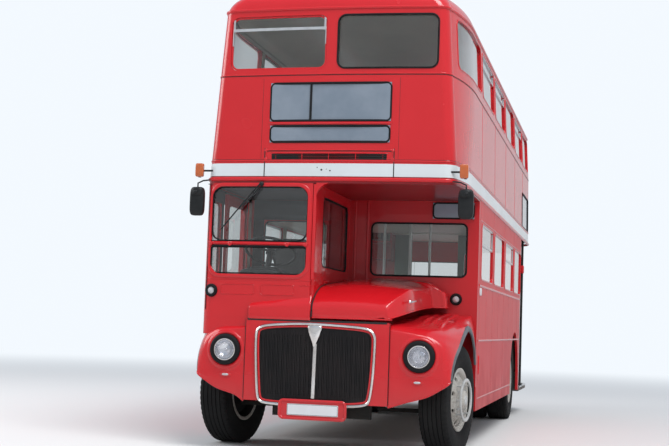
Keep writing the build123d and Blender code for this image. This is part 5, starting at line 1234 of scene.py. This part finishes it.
lining_green = finish("lining_green_sheet", (0.13, 0.19, 0.15), (0.11, 0.16, 0.13), 0.4, 0.15, 3.0, 40.0, 0.03,
                      coat=0.2)
cab_grey = finish("cab_lining_grey", (0.055, 0.063, 0.070), (0.04, 0.045, 0.05), 0.6, 0.2, 3.0, 60.0, 0.06)
cream = finish("ceiling_cream", (0.62, 0.60, 0.50), (0.56, 0.54, 0.45), 0.35, 0.1, 2.0, 20.0, 0.02, coat=0.4)
headers, linings = [], []
for side in (1, -1):
    headers += [side_sheet(side, y0, y1, 1664, 2246, LOWER_WALL) for y0, y1 in between(LOWER, 1480, 6630)]
    headers += [side_sheet(side, y0, y1, 3524, 4012, UPPER_WALL) for y0, y1 in between(UPPER, 250, 7860)]
    headers += [side_sheet(side, 1480, 6630, 2246, 2488, LOWER_WALL, (30, 4)),
                side_sheet(side, 250, 7860, 4012, 4062, UPPER_WALL, (60, 3))]
    linings += [side_sheet(side, 1480, 5258, 664, 1662, LOWER_WALL, (20, 4)),
                side_sheet(side, 5258, 6544, 1134, 1662, LOWER_WALL),
                side_sheet(side, 6544, 6632, 664, 1662, LOWER_WALL, (3, 3)),
                side_sheet(side, 250, 7860, 2602, 3524, UPPER_WALL, (60, 6))]
ceiling = [flat_sheet(-1180, 1180, 1484, 6350, 2480, 12, (16, 20)), flat_sheet(-580, 1150, 6350, 7880, 2480, 12)]
walled(put("window_headers", headers, cream, both_ways=True), SHEET)
walled(put("lower_ceiling", ceiling, cream, both_ways=True), SHEET)
walled(put("side_linings", linings, lining_green, both_ways=True), SHEET)

vault = spline(np.array([roof_ring(*row) for row in VAULT]), 15)
ridge = vault[-1:] * (0, 1, 1) + (0, 0, 4)
put("upper_ceiling", [grid(np.concatenate([vault, ridge]), round_cols=True)], cream, both_ways=True)

cab = [flat_sheet(-1150, -128, 45, 1440, 2424, 4)]
for x0, x1, z0, z1 in CAB_REAR:
    x, z = cells(x0, x1, z0, z1, (6, 4))
    cab.append(grid(np.stack([x, 1443 + 0 * x, z], -1)))
x, z = cells(-1110, -140, 1262, 1588, (16, 4))
cab.append(grid(np.stack([x, front_y(x, z) + 36, z], -1)))
cab += [side_sheet(-1, *edges, CAB_WALL) for edges in CAB_SIDE]
z, y = cells(1262, 1672, 60, 1440, (4, 12))
cab.append(grid(np.stack([-134 + 0 * y, y, z], -1)))
walled(put("cab_lining", cab, cab_grey, both_ways=True), SHEET)
binnacle = [rounded_block((-680, 330, 1590), (420, 200, 150), 4.0, 16, 32),
            rounded_block((-680, 400, 1640), (300, 60, 90), 5.0, 12, 24)]
put("cab_binnacle", binnacle, black_arm)

# Seats. Each double seat is a sprung cushion and a squab covered in woven moquette with a piped edge,
# on a steel frame with a grab rail over its back; two long cushions lie on the rear wheel boxes.
NEAR_ROW, OFF_ROW = 310.0, -1130.0
LOWER_SEATS = [(x, 1700.0 + 720 * row, 660.0) for row in range(5) for x in (NEAR_ROW, OFF_ROW)]
UPPER_SEATS = [(NEAR_ROW, 560.0 + 725 * row, 2597.0) for row in range(10)]
UPPER_SEATS += [(OFF_ROW, 560.0 + 725 * row, 2597.0) for row in range(8)]
CUSHION_AT, SQUAB_AT = (410, 212, 381), (410, 461, 622)
GRAB_RAIL = np.array([(40, 508, 700), (40, 508, 900), (70, 508, 940), (110, 508, 952), (710, 508, 952),
                      (750, 508, 940), (780, 508, 900), (780, 508, 700)])
SEAT_CELL, PAD_CELL, SWELL = 26.0, 18.0, 12.0
PRESSURE, STEPS = 4.0, 20
CHECK = 0.045


def moquette_material(name, ground, check, pile):
    """Woven moquette: a coarse check of two thread colours over a fine ribbed pile, with a soft sheen."""
    material, tree = new_material(name)
    place = wired(tree, "TexCoord")["Object"]
    parts = wired(tree, "SeparateXYZ", {0: place})
    height = reckoned(tree, "ADD", parts["Y"], parts["Z"])
    across = reckoned(tree, "PINGPONG", parts["X"], CHECK)
    along = reckoned(tree, "PINGPONG", height, CHECK)
    line = reckoned(tree, "MINIMUM", across, along)
    thread = wired(tree, "MapRange", {0: line, 1: 0.004, 2: 0.007})
    life = alive(tree, {"Colour": ground, "Faded": tuple(c * 0.6 for c in ground), "Roughness": 0.8, "Spread": 0.15,
                        "Speck Size": 260.0, "Bump": 0.3, "Patch Size": 5.0, "Grime Amount": 0.0})
    ribs = wired(tree, "TexWave", {"Vector": place, "Scale": pile, "Distortion": 0.4}, bands_direction="DIAGONAL")
    nap = wired(tree, "Bump", {"Strength": 0.35, "Distance": 0.002, "Height": ribs[1], "Normal": life["Normal"]})
    shader = wired(tree, "BsdfPrincipled", {
        "Base Color": blended(tree, thread[0], (*check, 1), life["Color"]),
        "Roughness": life["Roughness"], "Normal": nap[0], "Sheen Weight": 0.4,
    })
    wired(tree, "OutputMaterial", {0: shader[0]})
    return material


def points_of(mesh):
    """A mesh's points, in metres."""
    flat = np.empty(len(mesh.vertices) * 3)
    mesh.vertices.foreach_get("co", flat)
    return flat.reshape(-1, 3)


def stuffed(size, cell):
    """A pad as it is stuffed: a block with soft edges in even cells is blown up as weightless cloth, and
    no point may move further than the swell."""
    verts, quads, _ = rounded_block((0, 0, 0), size, 9.0, 24, 44)
    pad = placed("pad", meshed("pad", verts / 1000, quads.tolist(), SOFT_SEAM))
    even = pad.modifiers.new("even", "REMESH")
    even.mode, even.voxel_size = "VOXEL", cell / 1000
    pad.data = made_real(pad)
    pad.modifiers.clear()
    before = after = points_of(pad.data)
    cloth = pad.modifiers.new("blown", "CLOTH")
    cloth.settings.use_pressure = True
    cloth.settings.uniform_pressure_force = PRESSURE
    cloth.settings.effector_weights.gravity = 0.0
    for step in range(1, STEPS + 1):
        bpy.context.scene.frame_set(step)
    after = points_of(made_real(pad))
    bpy.context.scene.frame_set(1)
    faces = np.empty(len(pad.data.polygons) * 4, int)
    pad.data.polygons.foreach_get("vertices", faces)
    bpy.data.objects.remove(pad)
    move = (after - before) * 1000
    length = np.linalg.norm(move, axis=1, keepdims=True)
    return before * 1000 + move * np.minimum(1, SWELL / np.maximum(length, 1e-9)), faces.reshape(-1, 4), []


def moved(part, by):
    """The same surface, moved."""
    return part[0] + by, *part[1:]


moquette = moquette_material("moquette", (0.15, 0.030, 0.028), (0.22, 0.15, 0.05), 300.0)
piping_red = finish("piping_leathercloth", (0.11, 0.012, 0.012), (0.08, 0.012, 0.010), 0.4, 0.1, 6.0, 200.0, 0.1)
cushion, squab = stuffed((786, 388, 76), SEAT_CELL), stuffed((786, 56, 548), SEAT_CELL)
cord, edge = ARM[::2] * 0.6, window_line(-388, 388, -188, 188, 40)
cushion_piping = carried(np.column_stack([edge, np.full(len(edge), 33.0)]), UPWARD, cord, True)
squab_piping = carried(upright_line(window_line(-388, 388, -270, 270, 60), -22), AHEAD, cord, True)
grab_rail = carried(GRAB_RAIL, ASTERN, ARM[::2] * 1.3)
for deck, rows in (("lower", LOWER_SEATS), ("upper", UPPER_SEATS)):
    rows = np.array(rows)
    pads = put(f"{deck}_seat_cushions", [moved(cushion, row + CUSHION_AT) for row in rows], moquette, both_ways=True)
    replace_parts(pads, "seat_cushions")
    squabs = put(f"{deck}_seat_squabs", [moved(squab, row + SQUAB_AT) for row in rows], moquette, both_ways=True)
    piping = [moved(cushion_piping, row + CUSHION_AT) for row in rows]
    piping += [moved(squab_piping, row + SQUAB_AT) for row in rows]
    put(f"{deck}_seat_piping", piping, piping_red)
    put(f"{deck}_seat_grab_rails", [moved(grab_rail, row) for row in rows], bright)
bench = stuffed((510, 1168, 72), SEAT_CELL)
benches = [moved(bench, (x, 5881, 1175)) for x in (829.5, -829.5)]
put("bench_cushions", benches, moquette, both_ways=True)

# Driver's seat: two pads in black leathercloth on a pressed pan, a tube frame and a round pedestal.
# Its squab leans against two bent tubes that come up from the pan.
PEDESTAL = [(0, 60), (12, 60), (20, 48), (120, 42), (300, 42), (326, 56), (334, 56)]
SEAT_TUBE = np.array([(980, 1556), (1300, 1552), (1376, 1580), (1388, 1700), (1388, 1960)])
leathercloth = finish("black_leathercloth", (0.025, 0.024, 0.025), (0.045, 0.043, 0.042), 0.42, 0.2, 7.0, 320.0,
                      0.18)
pads = [moved(stuffed((420, 400, 70), PAD_CELL), (-680, 1112, 1604)),
        moved(stuffed((370, 50, 440), PAD_CELL), (-680, 1358, 1812))]
seat = put("driver_seat_pads", pads, leathercloth, both_ways=True)
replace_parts(seat, "driver_seat")
seat_frame = [rounded_block((-680, 1115, 1560), (430, 400, 16), 8.0, 10, 32),
              turned(PEDESTAL, (-680, 1115, 1226), UPWARD, 32)]
for x, out in ((-860, -1), (-500, 1)):
    tube = spline(np.column_stack([np.full(len(SEAT_TUBE), x), SEAT_TUBE]), 24)
    seat_frame.append(carried(tube, (out, 0, 0), ARM * 1.1))
put("driver_seat_frame", seat_frame, black_arm)

# Platform. The open platform has a black pole with its red bell box and a foot in a socket, grab
# handles at the doorway, and a bright nosing screwed along its edge.
POLE_X, POLE_Y, POLE_FOOT, POLE_HEAD = 1190, 7250, 391, 2494
NOSING = [(-30, -3), (2, -3), (3, 2), (3, 16), (0, 16), (0, 0), (-30, 0)]
HANDLES = ((352, 6632, 1150, 1900), (-352, 6632, 1150, 1900), (1168, 6690, 1000, 1650))
HANDLE_STAND_OFF = np.array([8, 42, 52, 52, 42, 8])


def socket(radius):
    """A pole socket's section: a flange that narrows to the pole."""
    return [(0, radius), (8, radius), (16, radius * 0.6), (22, 18)]


pole = [turned([(0, 17.5), (2100, 17.5)], (POLE_X, POLE_Y, POLE_FOOT + 1), UPWARD, 20),
        turned(socket(44), (POLE_X, POLE_Y, POLE_FOOT), UPWARD, 24),
        turned(socket(38), (POLE_X, POLE_Y, POLE_HEAD), (0, 0, -1), 24),
        carried([(POLE_X, POLE_Y, 1996), (1176, 7330, 1996), (1150, 7400, 1996)], UPWARD, ARM)]
put("platform_pole_sleeve", pole, black_arm)
put("platform_bell_box", [rounded_block((1192, 7250, 2058), (52, 78, 116), 6.0, 16, 28)], red_paint)
line, out = body_line(393)
keep = (line[:, 1] > 6690) & ((line[:, 0] > 425) | (line[:, 1] < 7900))
put("platform_nosing", [carried(line[keep], out[keep], NOSING)], bright)
doorway = []
for x, y, z0, z1 in HANDLES:
    z = np.array([z0, z0 + 20, z0 + 60, z1 - 60, z1 - 20, z1])
    doorway.append(carried(np.stack([x + 0 * z, y + 50 + HANDLE_STAND_OFF, z], 1), NEARSIDE, ARM * 1.3))
put("doorway_grab_handles", doorway, bright)

# Side fittings: the display over the platform in its black frame, a filler slot and a holder behind
# the front wheel on the nearside.
SIDE_DISPLAY_LIP = [(-12, 7), (-12, -7), (3, -9), (7, -4), (7, 4), (3, 8)]
display_seal = side_strip(window_line(6758, 7834, 2650, 3122, 34), SIDE_DISPLAY_LIP, closed=True)
put("side_display_rubber", [display_seal], rubber)
slot_rim = side_strip(window_line(1632, 1670, 718, 904, 17, 20), half_round(7, 9), closed=True)
put("filler_slot_rim", [slot_rim], red_paint)
# A dark flat bar inside the slot's rim: painted shade of the hollow behind it.
slot_painted_shade = carried([(1219, 1651, z) for z in (730, 784, 838, 892)], NEARSIDE, flat_bar(12, 1, -3))
put("filler_slot_painted_shade", [slot_painted_shade], dark)
put("side_holder", [rounded_block((1224, 1658, 1543), (14, 146, 76), 7.0, 12, 28)], plate_white)

# Rear. Two clusters of round lamps with a reflector under each, a blank white plate under its shaded
# lamp, the exit's handle and rubber, and the panel joints.
REFLECTOR = [(0, 32), (7, 32), (10, 28), (11, 0)]
CLUSTERS_X, RED_Z, AMBER_Z, REFLECTOR_Z = (-820, 340), 980, 850, 730
HANDLE_Z = 3358.0
HANDLE_LINE = np.array([(-60, 4), (-56, 30), (-40, 40), (40, 40), (56, 30), (60, 4)], float)


def rear_spot(x, z, out=0):
    """A place on the rear panel, or a distance out from it."""
    return x, float(rear_y(x, z)) + out, z


red_spots, amber_spots = ([rear_spot(x, z) for x in CLUSTERS_X] for z in (RED_Z, AMBER_Z))
lamp_rings = [turned(LAMP_RING, spot, ASTERN, 36) for spot in red_spots + amber_spots]
reds = [turned(LAMP_LENS, spot, ASTERN, 28) for spot in red_spots]
reds += [turned(REFLECTOR, rear_spot(x, REFLECTOR_Z), ASTERN, 24) for x in CLUSTERS_X]
put("rear_lamp_rings", lamp_rings, rubber)
put("rear_red_lenses", reds, red_lens)
put("rear_amber_lenses", [turned(LAMP_LENS, spot, ASTERN, 28) for spot in amber_spots], amber)
plate_line = window_line(-480, -20, 900, 1000, 10)
plate = [upright_line(plate_line, rear_y(*plate_line.T) + out) for out in (-2, 8, 9)]
put("rear_blank_plate", [capped(plate, (0, 1.5, 0))], plate_white)
put("rear_plate_lamp", [rounded_block(rear_spot(-250, 1030, 12), (150, 44, 36), 4.0, 14, 28)], black_arm)
exit_seal = rear_strip(window_line(-500, 500, 3390, 3925, 60), LIP, True)
put("exit_rubber", [exit_seal], rubber, "emergency_exit")
exit_edge = rear_strip(window_line(-552, 552, 3338, 3977, 84), half_round(4, 9), True)
put("exit_edge", [exit_edge], red_paint, "emergency_exit")
x, off = HANDLE_LINE.T
handle = np.stack([x, rear_y(x, HANDLE_Z) + off, HANDLE_Z + 0 * x], 1)
put("exit_handle", [carried(handle, UPWARD, ARM * 0.9)], bright, "emergency_exit")
joints = [rear_strip(plumb(x, 400, 2440, 12), flat_bar(1.5, 0.8)) for x in (-560, 200)]
put("rear_panel_joints", joints, dark)
